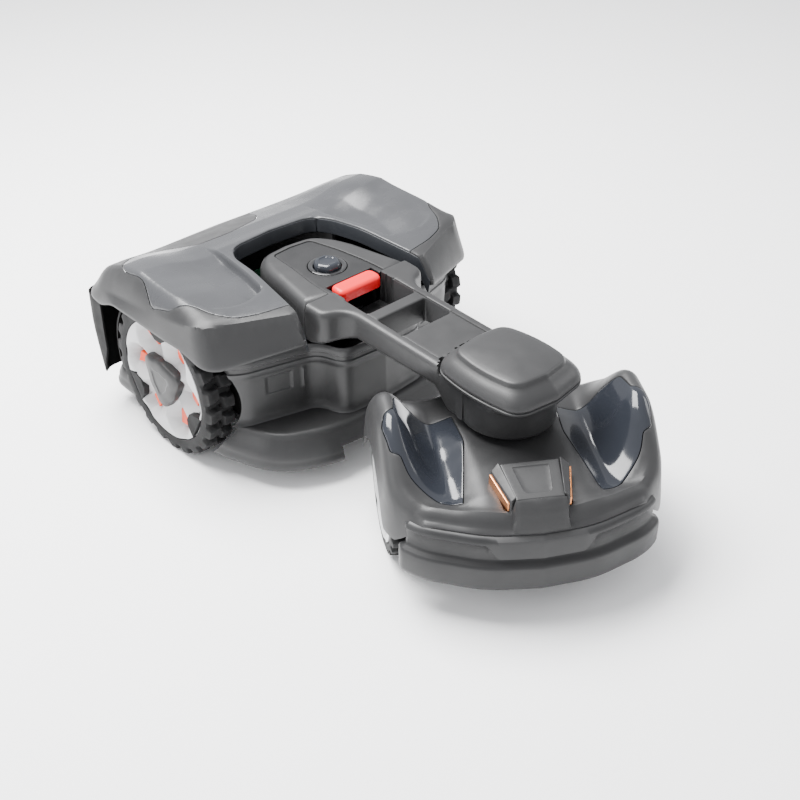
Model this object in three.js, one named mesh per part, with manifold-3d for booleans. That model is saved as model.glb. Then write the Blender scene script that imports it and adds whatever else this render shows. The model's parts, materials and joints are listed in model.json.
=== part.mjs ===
// Articulated robotic lawn mower: a wide rear body with the cutting unit, a boom over a narrower front
// module that steers about a vertical column, four driven wheels, and floating covers on both halves.
// Millimetres, +Z up, the front faces -Y. The origin lies on the ground in the middle of the footprint.
import * as THREE from "three";
import { mergeVertices } from "three/addons/utils/BufferGeometryUtils.js";
import Module from "manifold-3d";

const wasm = await Module();
wasm.setup();

// ---- Driving dimensions ------------------------------------------------------------------------
const REAR_AXLE_Y = 243; // the rear axle's place in the part's frame
const PIVOT_Y = -478; // steering axis, measured from the rear axle like every y of the rear body
const STEER_REST = THREE.MathUtils.degToRad(-33.5); // the front module stands turned to its right
const GAP = 0.4; // between pieces that are screwed or clipped together
const WALL = 3; // moulded covers
const HALF_WIDTH = 275;

const REAR_WHEEL = { r: 126, inner: 216, outer: 266, rim: 100, lugs: 22, capOuter: 272 };
const FRONT_WHEEL = { r: 101, inner: 145, outer: 186, rim: 82, lugs: 18 };
const FRONT_AXLE_Y = -26; // from the steering axis, in the front module's own frame

const DISC = { y: -85, z: 50, r: 76, thick: 3 }; // cutting disc at the middle cutting height
const BLADE = { orbit: 64, long: 44, wide: 19, thick: 1.2 };
const FLOOR_Z = 92; // chassis floor
const ARM = { half: 66, top: 258, bottom: 222 };
const DIAL = { y: -88, r: 31, button: 22 };
const POD = { r: 70, bottom: 186.5, seam: 246, top: 290 };
const ROLL_Z = 132; // height of the front module's roll axis
const GEAR = { module: 2.4, wheel: 30, pinion: 10, z: 200, thick: 12 };

// ---- Geometry helpers --------------------------------------------------------------------------
const lerp = THREE.MathUtils.lerp;
const ramp = (t, a, b) => THREE.MathUtils.clamp((t - a) / (b - a), 0, 1);

function solid(geometry) {
  const bare = geometry.index ? geometry.toNonIndexed() : geometry.clone();
  for (const name of Object.keys(bare.attributes)) {
    if (name !== "position") bare.deleteAttribute(name);
  }
  const merged = mergeVertices(bare, 1e-3);
  return new wasm.Manifold(
    new wasm.Mesh({
      numProp: 3,
      vertProperties: new Float32Array(merged.attributes.position.array),
      triVerts: new Uint32Array(merged.index.array),
    }),
  );
}

function geometryOf(body) {
  const mesh = body.getMesh();
  const geometry = new THREE.BufferGeometry();
  geometry.setAttribute("position", new THREE.BufferAttribute(new Float32Array(mesh.vertProperties), 3));
  geometry.setIndex(new THREE.BufferAttribute(new Uint32Array(mesh.triVerts), 1));
  return geometry.toNonIndexed();
}

function join(...bodies) {
  return bodies.reduce((all, next) => all.add(next));
}

function cut(body, ...tools) {
  return tools.reduce((rest, tool) => rest.subtract(tool), body);
}

// A prism over an XY outline, from z0 to z1.
function prism(outline, z0, z1) {
  const shape = new THREE.Shape(outline.map(([x, y]) => new THREE.Vector2(x, y)));
  const geometry = new THREE.ExtrudeGeometry(shape, { depth: z1 - z0, bevelEnabled: false });
  geometry.translate(0, 0, z0);
  return solid(geometry);
}

// A prism over a YZ outline, from x0 to x1.
function prismX(outline, x0, x1) {
  const shape = new THREE.Shape(outline.map(([y, z]) => new THREE.Vector2(y, z)));
  const geometry = new THREE.ExtrudeGeometry(shape, { depth: x1 - x0, bevelEnabled: false });
  geometry.applyMatrix4(new THREE.Matrix4().set(0, 0, 1, x0, 1, 0, 0, 0, 0, 1, 0, 0, 0, 0, 0, 1));
  return solid(geometry);
}

function box(x0, x1, y0, y1, z0, z1) {
  const geometry = new THREE.BoxGeometry(x1 - x0, y1 - y0, z1 - z0);
  geometry.translate((x0 + x1) / 2, (y0 + y1) / 2, (z0 + z1) / 2);
  return solid(geometry);
}

function upright(r, z0, z1, x = 0, y = 0, sides = 32, topR = r) {
  const geometry = new THREE.CylinderGeometry(topR, r, z1 - z0, sides);
  geometry.rotateX(Math.PI / 2);
  geometry.translate(x, y, (z0 + z1) / 2);
  return solid(geometry);
}

// A cylinder along X.
function across(r, x0, x1, y, z, sides = 32) {
  const geometry = new THREE.CylinderGeometry(r, r, x1 - x0, sides);
  geometry.rotateZ(-Math.PI / 2);
  geometry.translate((x0 + x1) / 2, y, z);
  return solid(geometry);
}

// A cylinder along Y.
function lengthwise(r, y0, y1, x, z, sides = 24) {
  const geometry = new THREE.CylinderGeometry(r, r, y1 - y0, sides);
  geometry.translate(x, (y0 + y1) / 2, z);
  return solid(geometry);
}

// Corners [x, y, radius] become an outline whose corners are rounded with `steps` chords.
function rounded(corners, steps = 4, closed = true) {
  const outline = [];
  corners.forEach(([x, y, radius], i) => {
    const end = !closed && (i === 0 || i === corners.length - 1);
    if (!radius || end) {
      outline.push([x, y]);
      return;
    }
    const before = corners[(i + corners.length - 1) % corners.length];
    const after = corners[(i + 1) % corners.length];
    const here = new THREE.Vector2(x, y);
    const start = new THREE.Vector2(before[0] - x, before[1] - y).setLength(radius).add(here);
    const stop = new THREE.Vector2(after[0] - x, after[1] - y).setLength(radius).add(here);
    for (const p of new THREE.QuadraticBezierCurve(start, here, stop).getPoints(steps)) {
      outline.push([p.x, p.y]);
    }
  });
  return outline;
}

// The +X half of an outline, whose ends lie on x = 0, becomes the whole outline, without points that
// lie on a straight line between their neighbours.
function mirrored(half) {
  const other = half.slice(1, -1).reverse().map(([x, y]) => [-x, y]);
  const outline = [...half, ...other];
  return outline.filter(([x, y], i) => {
    const [ax, ay] = outline[(i + outline.length - 1) % outline.length];
    const [bx, by] = outline[(i + 1) % outline.length];
    return Math.abs((x - ax) * (by - ay) - (y - ay) * (bx - ax)) > 1e-4;
  });
}

// Moves an anticlockwise outline inwards by d.
function inset(outline, d) {
  const n = outline.length;
  return outline.map(([x, y], i) => {
    const a = outline[(i + n - 1) % n];
    const b = outline[(i + 1) % n];
    const inA = new THREE.Vector2(a[1] - y, x - a[0]).normalize();
    const inB = new THREE.Vector2(y - b[1], b[0] - x).normalize();
    const mid = inA.clone().add(inB).normalize();
    const reach = d / Math.max(0.6, mid.dot(inA));
    return [x + mid.x * reach, y + mid.y * reach];
  });
}

// Stacks copies of an outline, each { z, in, share }, into a closed solid: moved inwards by `in` and
// shrunk to `share` of its size towards (0, midY). z may be a function of x and y.
function stack(outline, levels, midY = 0) {
  const n = outline.length;
  const points = [];
  for (const level of levels) {
    for (const [x0, y0] of inset(outline, level.in)) {
      const [x, y] = [x0 * (level.share ?? 1), lerp(midY, y0, level.share ?? 1)];
      points.push(x, y, typeof level.z === "function" ? level.z(x, y) : level.z);
    }
  }
  const index = [];
  for (let k = 0; k + 1 < levels.length; k++) {
    for (let i = 0; i < n; i++) {
      const j = (i + 1) % n;
      index.push(k * n + i, k * n + j, (k + 1) * n + j, k * n + i, (k + 1) * n + j, (k + 1) * n + i);
    }
  }
  const top = (levels.length - 1) * n;
  const plan = outline.map(([x, y]) => new THREE.Vector2(x, y));
  for (const [a, b, c] of THREE.ShapeUtils.triangulateShape(plan, [])) {
    index.push(a, c, b, top + a, top + b, top + c);
  }
  const geometry = new THREE.BufferGeometry();
  geometry.setAttribute("position", new THREE.Float32BufferAttribute(points, 3));
  geometry.setIndex(index);
  return solid(geometry);
}

// ---- Materials ---------------------------------------------------------------------------------
const finish = (color, roughness, metalness = 0) =>
  new THREE.MeshStandardMaterial({ color, roughness, metalness });
const SHELL = finish(0x58595b, 0.5);
const PANEL = finish(0x77797c, 0.4);
const DARK = finish(0x3a3b3d, 0.55);
const BLACK = finish(0x141414, 0.6);
const GLOSS = finish(0x35373c, 0.15);
const RED = finish(0xe03338, 0.4);
const WHITE = finish(0xdcdcdc, 0.35);
const ORANGE = finish(0xf0642a, 0.4);
const TYRE = finish(0x2b2b2c, 0.85);
const STEEL = finish(0xb8bcc0, 0.3, 1);
const COPPER = finish(0xa86a45, 0.35, 1);
const BOARD = finish(0x1f5a3a, 0.6);
const CELL = finish(0x22262c, 0.6);

const machine = new THREE.Group();
machine.position.y = REAR_AXLE_Y;
const front = new THREE.Group();
front.position.y = PIVOT_Y;
front.rotation.z = STEER_REST;
machine.add(front);

function add(group, name, body, material) {
  const mesh = new THREE.Mesh(geometryOf(body), material);
  mesh.name = name;
  group.add(mesh);
}

// ---- Rear chassis ------------------------------------------------------------------------------
// The room round each wheel, kept `room` clear of the tread and of the tyre's inner side.
const wheelWells = (wheel, y, room) =>
  cut(
    across(wheel.r + room, -HALF_WIDTH - 30, HALF_WIDTH + 30, y, wheel.r, 28),
    box(-wheel.inner + room, wheel.inner - room, y - 200, y + 200, -100, 400),
  );
const motorHoles = (wheel, y) =>
  cut(
    across(wheel.r * 0.235 + 1.5, -wheel.inner, wheel.inner, y, wheel.r, 16),
    box(-wheel.inner + 30, wheel.inner - 30, y - 60, y + 60, 0, 300),
  );

// Walls of the tub: a deep centre block in front, shoulders behind it and the tail over the rear skirt.
const tubHalf = rounded(
  [
    [0, -226, 0],
    [78, -220, 16],
    [98, -170, 16],
    [222, -138, 24],
    [246, -100, 10],
    [262, 150, 10],
    [262, 196, 26],
    [120, 212, 40],
    [0, 214, 0],
  ],
  2,
  false,
);
const skirtHalf = rounded(
  [
    [0, -252, 0],
    [120, -246, 40],
    [206, -206, 44],
    [240, -110, 20],
    [245, 120, 10],
    [244, 176, 20],
    [0, 196, 0],
  ],
  2,
  false,
);

function rearChassis() {
  const tub = mirrored(tubHalf);
  const skirt = mirrored(skirtHalf);
  const tubLevels = (d, z0, z1) => [
    { z: z0, in: d + 4 },
    { z: 150, in: d + 3 },
    { z: z1, in: d },
  ];
  const walls = cut(stack(tub, tubLevels(0, 84, 202)), stack(tub, tubLevels(WALL, FLOOR_Z + WALL, 210)));
  const deck = cut(
    stack(skirt, [
      { z: 34, in: -8 },
      { z: 80, in: 12 },
      { z: 88, in: 18 },
    ]),
    stack(skirt, [
      { z: 30, in: -8 + WALL },
      { z: 78, in: 12 + WALL },
      { z: 84, in: 22 },
    ]),
  );
  const floor = stack(tub, [
    { z: 86, in: 6 },
    { z: FLOOR_Z + WALL + 1, in: 6 },
  ]);
  // The tail skirt hangs behind the wheels.
  const tail = cut(
    prismX(rounded([[150, 60, 0], [186, 60, 14], [206, 148, 0], [206, 204, 0], [150, 204, 0]], 3), -268, 268),
    prismX(rounded([[140, 50, 0], [182, 50, 0], [202, 146, 0], [202, 210, 0], [140, 210, 0]], 3), -264, 264),
    box(-300, 300, 100, 158, 40, 150),
  );
  const frontNotch = box(-112, 112, -290, -200, 20, 58); // the skirt is raised where the front wheels turn
  const motorHole = upright(48, 60, 130, 0, DISC.y, 32);
  const lining = stack(tub, tubLevels(0, 84, 202)).intersect(wheelWells(REAR_WHEEL, 0, 8 + WALL));
  return cut(
    join(walls, floor, deck, tail, lining),
    frontNotch,
    motorHole,
    motorHoles(REAR_WHEEL, 0),
    wheelWells(REAR_WHEEL, 0, 8),
  );
}
add(machine, "rear_chassis", rearChassis(), SHELL);

// ---- Hood: a floating U-shaped cover with its panel, trim and rubber posts ----------------------
const hoodTop = (x, y) => {
  const side = ramp(Math.abs(x), 110, 225);
  const rise = y < 60 ? lerp(266, 284, ramp(y, -190, 60)) : lerp(284, 232, ramp(y, 60, 205) ** 1.4);
  return rise - 12 * (1 - side) * ramp(y, -60, 60) * (1 - ramp(y, 60, 205));
};
const hoodLip = (x, y) => {
  const frontLip = lerp(226, 207, ramp(Math.abs(x), 130, 250));
  return y < 100
    ? Math.min(frontLip, lerp(frontLip, 207, ramp(y, -120, 0)))
    : lerp(207, 206, ramp(y, 100, 170));
};
const hoodHalf = rounded(
  [
    [0, -194, 0],
    [128, -194, 8],
    [269, -133, 24],
    [HALF_WIDTH, -40, 20],
    [HALF_WIDTH, 140, 20],
    [HALF_WIDTH - 6, 198, 36],
    [150, 222, 40],
    [0, 227, 0],
  ],
  3,
  false,
);
const openingHalf = (d) => [
  [0, -260],
  [129 + d * 1.6, -260],
  [128 + d, -192],
  [98 + d, 26],
  [92 + d, 40 + d],
  [76 + d, 52 + d],
  [0, 58 + d],
];

const hoodLevels = (d, drop) => [
  { z: (x, y) => hoodLip(x, y) - drop, in: d },
  { z: (x, y) => hoodLip(x, y) + 20, in: d + 1 },
  { z: (x, y) => Math.max(hoodTop(x, y) - 12 - d, hoodLip(x, y) + 22), in: d + 4 },
  { z: (x, y) => Math.max(hoodTop(x, y) - d, hoodLip(x, y) + 24), in: d + 5, share: 0.92 },
];

const hoodOutside = stack(mirrored(hoodHalf), hoodLevels(0, 0));

function hoodShell() {
  const inside = stack(mirrored(hoodHalf), hoodLevels(WALL, 8));
  const opening = (d) => prism(mirrored(openingHalf(d)), 100, 400);
  return cut(hoodOutside, opening(0), cut(inside, opening(WALL)));
}

const panelHalf = rounded(
  [
    [0, 92, 0],
    [84, 88, 18],
    [118, 60, 20],
    [156, -132, 16],
    [214, -118, 26],
    [236, -60, 20],
    [236, 70, 20],
    [205, 118, 30],
    [0, 132, 0],
  ],
  4,
  false,
);

function hoodPanel() {
  const slab = stack(mirrored(panelHalf), [
    { z: 240, in: 0 },
    { z: (x, y) => hoodTop(x, y) + 4, in: 1 },
  ]);
  return cut(slab, hoodOutside.translate(0, 0, GAP));
}

// The trim lines the U-shaped edge of the hood, open at the front.
function hoodTrim() {
  const line = rounded([[121, -168, 0], [88, 34, 14], [66, 50, 12], [0, 53, 0]], 4, false);
  const outer = [...line, ...line.slice(0, -1).reverse().map(([x, y]) => [-x, y])];
  const inner = outer.map(([x, y]) => [x * 0.955, y - (y > 0 ? 5 : 0)]).reverse();
  return prism([...outer, ...inner], 244, 262);
}

add(machine, "rear_hood", hoodShell(), SHELL);
add(machine, "hood_panel", hoodPanel(), PANEL);
add(machine, "hood_trim", hoodTrim(), DARK);
for (const [side, x] of [["left", 165], ["right", -165]]) {
  const foot = upright(11, FLOOR_Z + WALL + 1 + GAP, 236, x, -80, 12, 9);
  add(machine, `hood_post_${side}`, join(foot, upright(14, 236, 256, x, -80, 12)), BLACK);
}

// ---- Boom, console and controls ------------------------------------------------------------------
function boom() {
  const plan = mirrored(
    rounded(
      [
        [0, -560, 0],
        [30, -556, 20],
        [ARM.half, -520, 20],
        [ARM.half, -214, 22],
        [104, -196, 14],
        [105, -159, 0],
        [0, -159, 0],
      ],
      5,
      false,
    ),
  );
  const bar = stack(plan, [
    { z: (x, y) => lerp(204, ARM.bottom, ramp(-y, 170, 230)), in: 4 },
    { z: (x, y) => lerp(212, ARM.bottom + 8, ramp(-y, 170, 230)), in: 0 },
    { z: 250, in: 0 },
    { z: (x, y) => lerp(266, ARM.top, ramp(-y, 170, 400)), in: 9 },
  ]);
  const gripNear = box(-48, 48, -236, -186, 150, 300);
  const gripFar = box(-52, 52, -313, -258, 150, 300);
  const stopWell = box(-47, 47, -190, -150, 232, 300);
  const podSeat = upright(POD.r + GAP, 150, 300, 0, PIVOT_Y, 32);
  const beyond = box(-100, 100, -600, PIVOT_Y + GAP, 150, 300);
  const capSeat = box(-100, 100, -600, PIVOT_Y + 90, POD.seam - 1, 300);
  return cut(bar, gripNear, gripFar, stopWell, podSeat, beyond, capSeat);
}
add(machine, "boom", boom(), SHELL);

const consoleHalf = rounded(
  [
    [0, -158, 0],
    [105, -158, 0],
    [78, -20, 24],
    [52, 20, 20],
    [0, 26, 0],
  ],
  4,
  false,
);

function consoleFrame() {
  const body = stack(mirrored(consoleHalf), [
    { z: 206, in: 0 },
    { z: 244, in: 2 },
    { z: (x, y) => 266 - 6 * ramp(y, -60, 26), in: 16 },
  ]);
  const hollow = stack(mirrored(consoleHalf), [
    { z: 200, in: WALL },
    { z: 238, in: WALL + 2 },
    { z: 246, in: 20 },
  ]);
  const plateSeat = stack(mirrored(platePlan), [
    { z: 252, in: -GAP },
    { z: 280, in: -GAP },
  ]);
  const dialHole = upright(17, 220, 290, 0, DIAL.y, 24);
  const stopHole = box(-46, 46, -170, -138, 236, 300);
  return cut(body, hollow, plateSeat, dialHole, stopHole);
}
const platePlan = rounded([[0, -158, 0], [55, -158, 0], [54, -120, 0], [37, 0, 8], [0, 4, 0]], 3, false);

function controlPlate() {
  return cut(
    stack(mirrored(platePlan), [
      { z: 252.3, in: 0 },
      { z: 259, in: 0 },
    ]),
    upright(DIAL.r + GAP, 240, 280, 0, DIAL.y, 36),
    box(-46, 46, -170, -138, 236, 300),
  );
}
add(machine, "console", consoleFrame(), SHELL);
add(machine, "control_plate", controlPlate(), DARK);

// Start dial: a ring that turns, with a button that is pressed in its middle.
const dialRing = cut(
  join(upright(DIAL.r, 253, 263, 0, DIAL.y, 36, DIAL.r - 1.5), upright(16.4, 247, 254, 0, DIAL.y, 24)),
  upright(DIAL.button + GAP, 256, 270, 0, DIAL.y, 32),
  upright(13, 240, 270, 0, DIAL.y, 24),
);
const dialButton = join(
  upright(DIAL.button, 259, 267, 0, DIAL.y, 32, DIAL.button - 2),
  upright(12.6, 246, 260, 0, DIAL.y, 24),
);
add(machine, "start_dial", dialRing, BLACK);
add(machine, "start_button", dialButton, GLOSS);

function stopButton() {
  const key = stack(mirrored(rounded([[0, -171, 0], [42, -170, 6], [41, -141, 6], [0, -141, 0]], 3, false)), [
    { z: 247, in: 1 },
    { z: 261, in: 0 },
    { z: 265, in: 3 },
  ]);
  return join(key, box(-12, 12, -164, -148, 240, 248));
}
add(machine, "stop_button", stopButton(), RED);
add(machine, "console_board", box(-38, 38, -140, -12, 226, 228), BOARD);

// ---- Pod on the steering axis ----------------------------------------------------------------------
const podOutline = mirrored(
  rounded([[0, -92, 0], [70, -82, 26], [82, 0, 50], [66, 80, 26], [0, 86, 0]], 3, false),
).map(([x, y]) => [x, y + PIVOT_Y + 2]);

function podBase() {
  const shaft = upright(POD.r, POD.bottom, 236, 0, PIVOT_Y, 32);
  const front = box(-100, 100, -700, PIVOT_Y, 225, 300);
  const collar = stack(podOutline, [
    { z: 228, in: 26 },
    { z: POD.seam - 1.5, in: 6 },
  ]).intersect(join(front, upright(POD.r, 200, 260, 0, PIVOT_Y, 32)));
  const cavity = join(
    upright(POD.r - 4, POD.bottom + 8, 240, 0, PIVOT_Y, 24),
    upright(60, 238, 260, 0, PIVOT_Y, 24),
  );
  const columnHole = upright(14.5, 150, 260, 0, PIVOT_Y, 20);
  return cut(join(shaft, collar), cavity, columnHole);
}
add(machine, "pod_base", podBase(), SHELL);

function podCap() {
  const dome = (d) => [
    { z: POD.seam - (d > 0 ? 2 : 0), in: 3 + d },
    { z: POD.seam + 4, in: d },
    { z: POD.seam + 13, in: d },
    { z: 276 - d, in: d, share: 0.86 },
    { z: POD.top - 3 - d, in: d, share: 0.72 },
    { z: POD.top - d, in: d, share: 0.5 },
  ];
  return cut(stack(podOutline, dome(0), PIVOT_Y), stack(podOutline, dome(4), PIVOT_Y));
}
add(machine, "pod_cap", podCap(), SHELL);
add(machine, "antenna_board", box(-40, 40, PIVOT_Y - 40, PIVOT_Y + 40, 262, 264), BOARD);

// Toothed outline round the origin: straight-flanked teeth with backlash.
function gearOutline(teeth, module, turn) {
  const outline = [];
  const pitchR = (teeth * module) / 2;
  const step = (2 * Math.PI) / teeth;
  const rootR = pitchR - 1.35 * module;
  const tipR = pitchR + 0.8 * module;
  for (let i = 0; i < teeth; i++) {
    for (const [r, share] of [
      [rootR, -0.36],
      [tipR, -0.13],
      [tipR, 0.13],
      [rootR, 0.36],
    ]) {
      const a = turn + (i + share) * step;
      outline.push([r * Math.cos(a), r * Math.sin(a)]);
    }
  }
  return outline;
}
const GEAR_CENTRES = ((GEAR.wheel + GEAR.pinion) * GEAR.module) / 2;

function steeringMotor() {
  const y = PIVOT_Y + GEAR_CENTRES;
  return upright(13, GEAR.z + GEAR.thick + 4, 240, 0, y, 24);
}
function steeringPinion() {
  const y = PIVOT_Y + GEAR_CENTRES;
  const teeth = gearOutline(GEAR.pinion, GEAR.module, -Math.PI / 2).map(([px, py]) => [px, py + y]);
  const wheel = prism(teeth, GEAR.z, GEAR.z + GEAR.thick);
  return join(wheel, upright(3, GEAR.z + GEAR.thick, GEAR.z + GEAR.thick + 3.4, 0, y, 12));
}

// ---- Wheels ----------------------------------------------------------------------------------------
// A wheel is drawn on the +X side and mirrored by turning it half round about Z.
function lathe(profile, sides) {
  const geometry = new THREE.LatheGeometry(
    profile.map(([r, x]) => new THREE.Vector2(r, x)),
    sides,
  );
  geometry.rotateZ(-Math.PI / 2);
  return solid(geometry);
}

function tyre(w) {
  const outline = [];
  const step = (2 * Math.PI) / w.lugs;
  for (let i = 0; i < w.lugs; i++) {
    for (const [share, r] of [
      [-0.32, w.r - 7],
      [-0.24, w.r],
      [0.24, w.r],
      [0.32, w.r - 7],
    ]) {
      const a = -Math.PI / 2 + (i + share) * step;
      outline.push([r * Math.cos(a), r * Math.sin(a)]);
    }
  }
  const bore = upright(w.rim + 1.3, -1000, 1000, 0, 0, 20);
  const ring = cut(prism(outline, w.inner, w.outer), bore);
  const geometry = geometryOf(ring);
  geometry.applyMatrix4(new THREE.Matrix4().set(0, 0, 1, 0, 1, 0, 0, 0, 0, 1, 0, 0, 0, 0, 0, 1));
  return solid(geometry);
}

function rim(w) {
  const barrel = lathe(
    [
      [w.rim - 4, w.inner + 2],
      [w.rim, w.inner + 2],
      [w.rim, w.outer + 1],
      [w.rim - 8, w.outer + 1],
      [w.rim - 30, w.outer - 6],
      [30, w.outer - 2],
      [8.4, w.outer - 2],
      [8.4, w.outer - 12],
      [28, w.outer - 12],
      [w.rim - 30, w.outer - 12],
      [w.rim - 4, w.outer - 6],
      [w.rim - 4, w.inner + 2],
    ],
    w === REAR_WHEEL ? 24 : 16,
  );
  const windows = [];
  for (let i = 0; i < (w === REAR_WHEEL ? 5 : 0); i++) {
    const hole = new THREE.CylinderGeometry(9, 9, 60, 6);
    hole.rotateZ(Math.PI / 2);
    hole.translate(w.outer, 0, w.rim * 0.62);
    hole.rotateX((i * Math.PI) / 2.5 + 0.25);
    windows.push(solid(hole));
  }
  return cut(barrel, ...windows);
}

const accent = (w) =>
  lathe(
    [
      [w.rim * 0.4, w.outer - 15.5],
      [w.rim * 0.78, w.outer - 15.5],
      [w.rim * 0.78, w.outer - 12.5],
      [w.rim * 0.4, w.outer - 12.5],
      [w.rim * 0.4, w.outer - 15.5],
    ],
    32,
  );

const hubCap = (w) =>
  lathe(
    [
      [0, w.outer - 1.6],
      [w.rim * 0.27, w.outer - 1.6],
      [w.rim * 0.25, w.capOuter - 2],
      [w.rim * 0.18, w.capOuter],
      [0, w.capOuter],
    ],
    24,
  );

function gearMotor(w) {
  return join(
    across(w.r * 0.235, w.inner - 62, w.inner + 12, 0, 0, 16),
    across(w.r * 0.15, w.inner - 108, w.inner - 60, 0, 0, 14),
    across(8, w.inner, w.outer - 3, 0, 0, 12),
  );
}

function addWheelSet(group, prefix, w, y) {
  for (const [side, turn] of [
    ["left", 0],
    ["right", Math.PI],
  ]) {
    const hub = new THREE.Group();
    hub.position.set(0, y, w.r);
    hub.rotation.z = turn;
    group.add(hub);
    add(hub, `${prefix}_tyre_${side}`, tyre(w), TYRE);
    add(hub, `${prefix}_rim_${side}`, rim(w), WHITE);
    if (prefix === "rear") {
      add(hub, `rear_rim_accent_${side}`, accent(w), ORANGE);
      add(hub, `rear_hub_cap_${side}`, hubCap(w), DARK);
    }
    add(hub, `${prefix}_gear_motor_${side}`, gearMotor(w), BLACK);
  }
}
addWheelSet(machine, "rear", REAR_WHEEL, 0);

// ---- Cutting unit ------------------------------------------------------------------------------------
const discTop = DISC.z + DISC.thick;
add(
  machine,
  "blade_motor",
  join(upright(34, 84, 156, 0, DISC.y, 28), upright(5, discTop + GAP, 84, 0, DISC.y, 16)),
  BLACK,
);

const SCREW = { x: 62, r: 6 };
function heightCarriage() {
  const plate = prism(
    rounded([[-46, DISC.y - 46, 16], [46, DISC.y - 46, 16], [78, DISC.y - 12, 10], [78, DISC.y + 12, 10],
      [46, DISC.y + 46, 16], [-46, DISC.y + 46, 16]], 3),
    124,
    130,
  );
  return cut(
    join(plate, upright(12, 118, 136, SCREW.x, DISC.y, 20)),
    upright(34 + GAP, 110, 150, 0, DISC.y, 28),
    upright(SCREW.r + GAP, 100, 150, SCREW.x, DISC.y, 16),
  );
}
add(machine, "height_carriage", heightCarriage(), DARK);
add(
  machine,
  "height_screw",
  join(upright(SCREW.r, 98, 166, SCREW.x, DISC.y, 12), upright(10, 166, 172, SCREW.x, DISC.y, 12)),
  STEEL,
);
add(machine, "height_motor", upright(15, 173, 198, SCREW.x, DISC.y, 20), BLACK);

add(
  machine,
  "blade_disc",
  cut(
    join(upright(DISC.r, DISC.z, discTop, 0, DISC.y, 32), upright(18, DISC.z - 3, DISC.z, 0, DISC.y, 24)),
    upright(5 - GAP, DISC.z - 12, DISC.z - 1, 0, DISC.y, 12),
  ),
  STEEL,
);
for (let i = 0; i < 3; i++) {
  const a = (i * 2 * Math.PI) / 3 + Math.PI / 6;
  const holder = new THREE.Group();
  holder.position.set(BLADE.orbit * Math.cos(a), DISC.y + BLADE.orbit * Math.sin(a), 0);
  holder.rotation.z = a;
  machine.add(holder);
  const top = DISC.z - GAP;
  const strip = prism(
    rounded([[-8, -BLADE.wide / 2, 4], [BLADE.long - 8, -BLADE.wide / 2, 2],
      [BLADE.long - 8, BLADE.wide / 2, 2], [-8, BLADE.wide / 2, 4]], 2),
    top - BLADE.thick,
    top,
  );
  add(holder, `blade_${i + 1}`, cut(strip, upright(3.4, 20, 60, 0, 0, 12)), STEEL);
  const screw = join(upright(3, top - 2, top + GAP, 0, 0, 12), upright(5.5, top - 4, top - 2, 0, 0, 12));
  add(holder, `blade_screw_${i + 1}`, screw, STEEL);
}
add(
  machine,
  "skid_plate",
  join(
    upright(52, DISC.z - 12, DISC.z - 9, 0, DISC.y, 36, 56),
    upright(14, DISC.z - 9, DISC.z - 4, 0, DISC.y, 20),
  ),
  DARK,
);

// ---- Battery and electronics ----------------------------------------------------------------------
add(machine, "battery_pack", box(-85, 85, 52, 138, FLOOR_Z + WALL + 1 + GAP, 150), CELL);
add(machine, "main_board", box(-70, 70, 58, 132, 158, 160), BOARD);

// ---- Front module -------------------------------------------------------------------------------------
const frontOutline = (half) => mirrored(rounded(half, 2, false));
const FRONT_HALF = 200;

function frontChassis() {
  const pan = frontOutline([
    [0, -152, 0],
    [100, -148, 20],
    [136, -116, 14],
    [136, 50, 14],
    [104, 74, 14],
    [0, 78, 0],
  ]);
  const tub = cut(
    stack(pan, [
      { z: 66, in: 8 },
      { z: 78, in: 0 },
      { z: 118, in: 0 },
    ]),
    stack(pan, [
      { z: 71, in: 11 },
      { z: 80, in: WALL },
      { z: 124, in: WALL },
    ]),
  );
  return cut(tub, motorHoles(FRONT_WHEEL, FRONT_AXLE_Y));
}
add(front, "front_chassis", frontChassis(), DARK);

// Cover height: fenders over the wheels, a low valley down the middle and a nose falling forwards.
const coverTop = (x, y) => {
  const fender = ramp(Math.abs(x), 76, 150) ** 0.8 * (1 - 0.35 * ramp(Math.abs(x), 176, FRONT_HALF));
  const ends = ramp(y, -166, -50) * (1 - 0.7 * ramp(y, 10, 88));
  return lerp(lerp(150, 172, ramp(y, -200, -60)), 234, fender * ends);
};
const coverLip = (x, y) => {
  const arch = 72 * Math.max(0, 1 - ((y + 22) / 92) ** 2) * ramp(Math.abs(x), 150, 185);
  const nose = lerp(143, 100, ramp(Math.abs(x), 150, 185));
  return nose - 20 * ramp(y, -110, 0) * ramp(165 - Math.abs(x), 0, 20) + arch;
};
const coverHalf = [
  [0, -212, 0],
  [70, -206, 30],
  [165, -166, 26],
  [FRONT_HALF - 3, -126, 24],
  [FRONT_HALF, 40, 16],
  [196, 86, 18],
  [160, 100, 16],
  [0, 100, 0],
];

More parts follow.
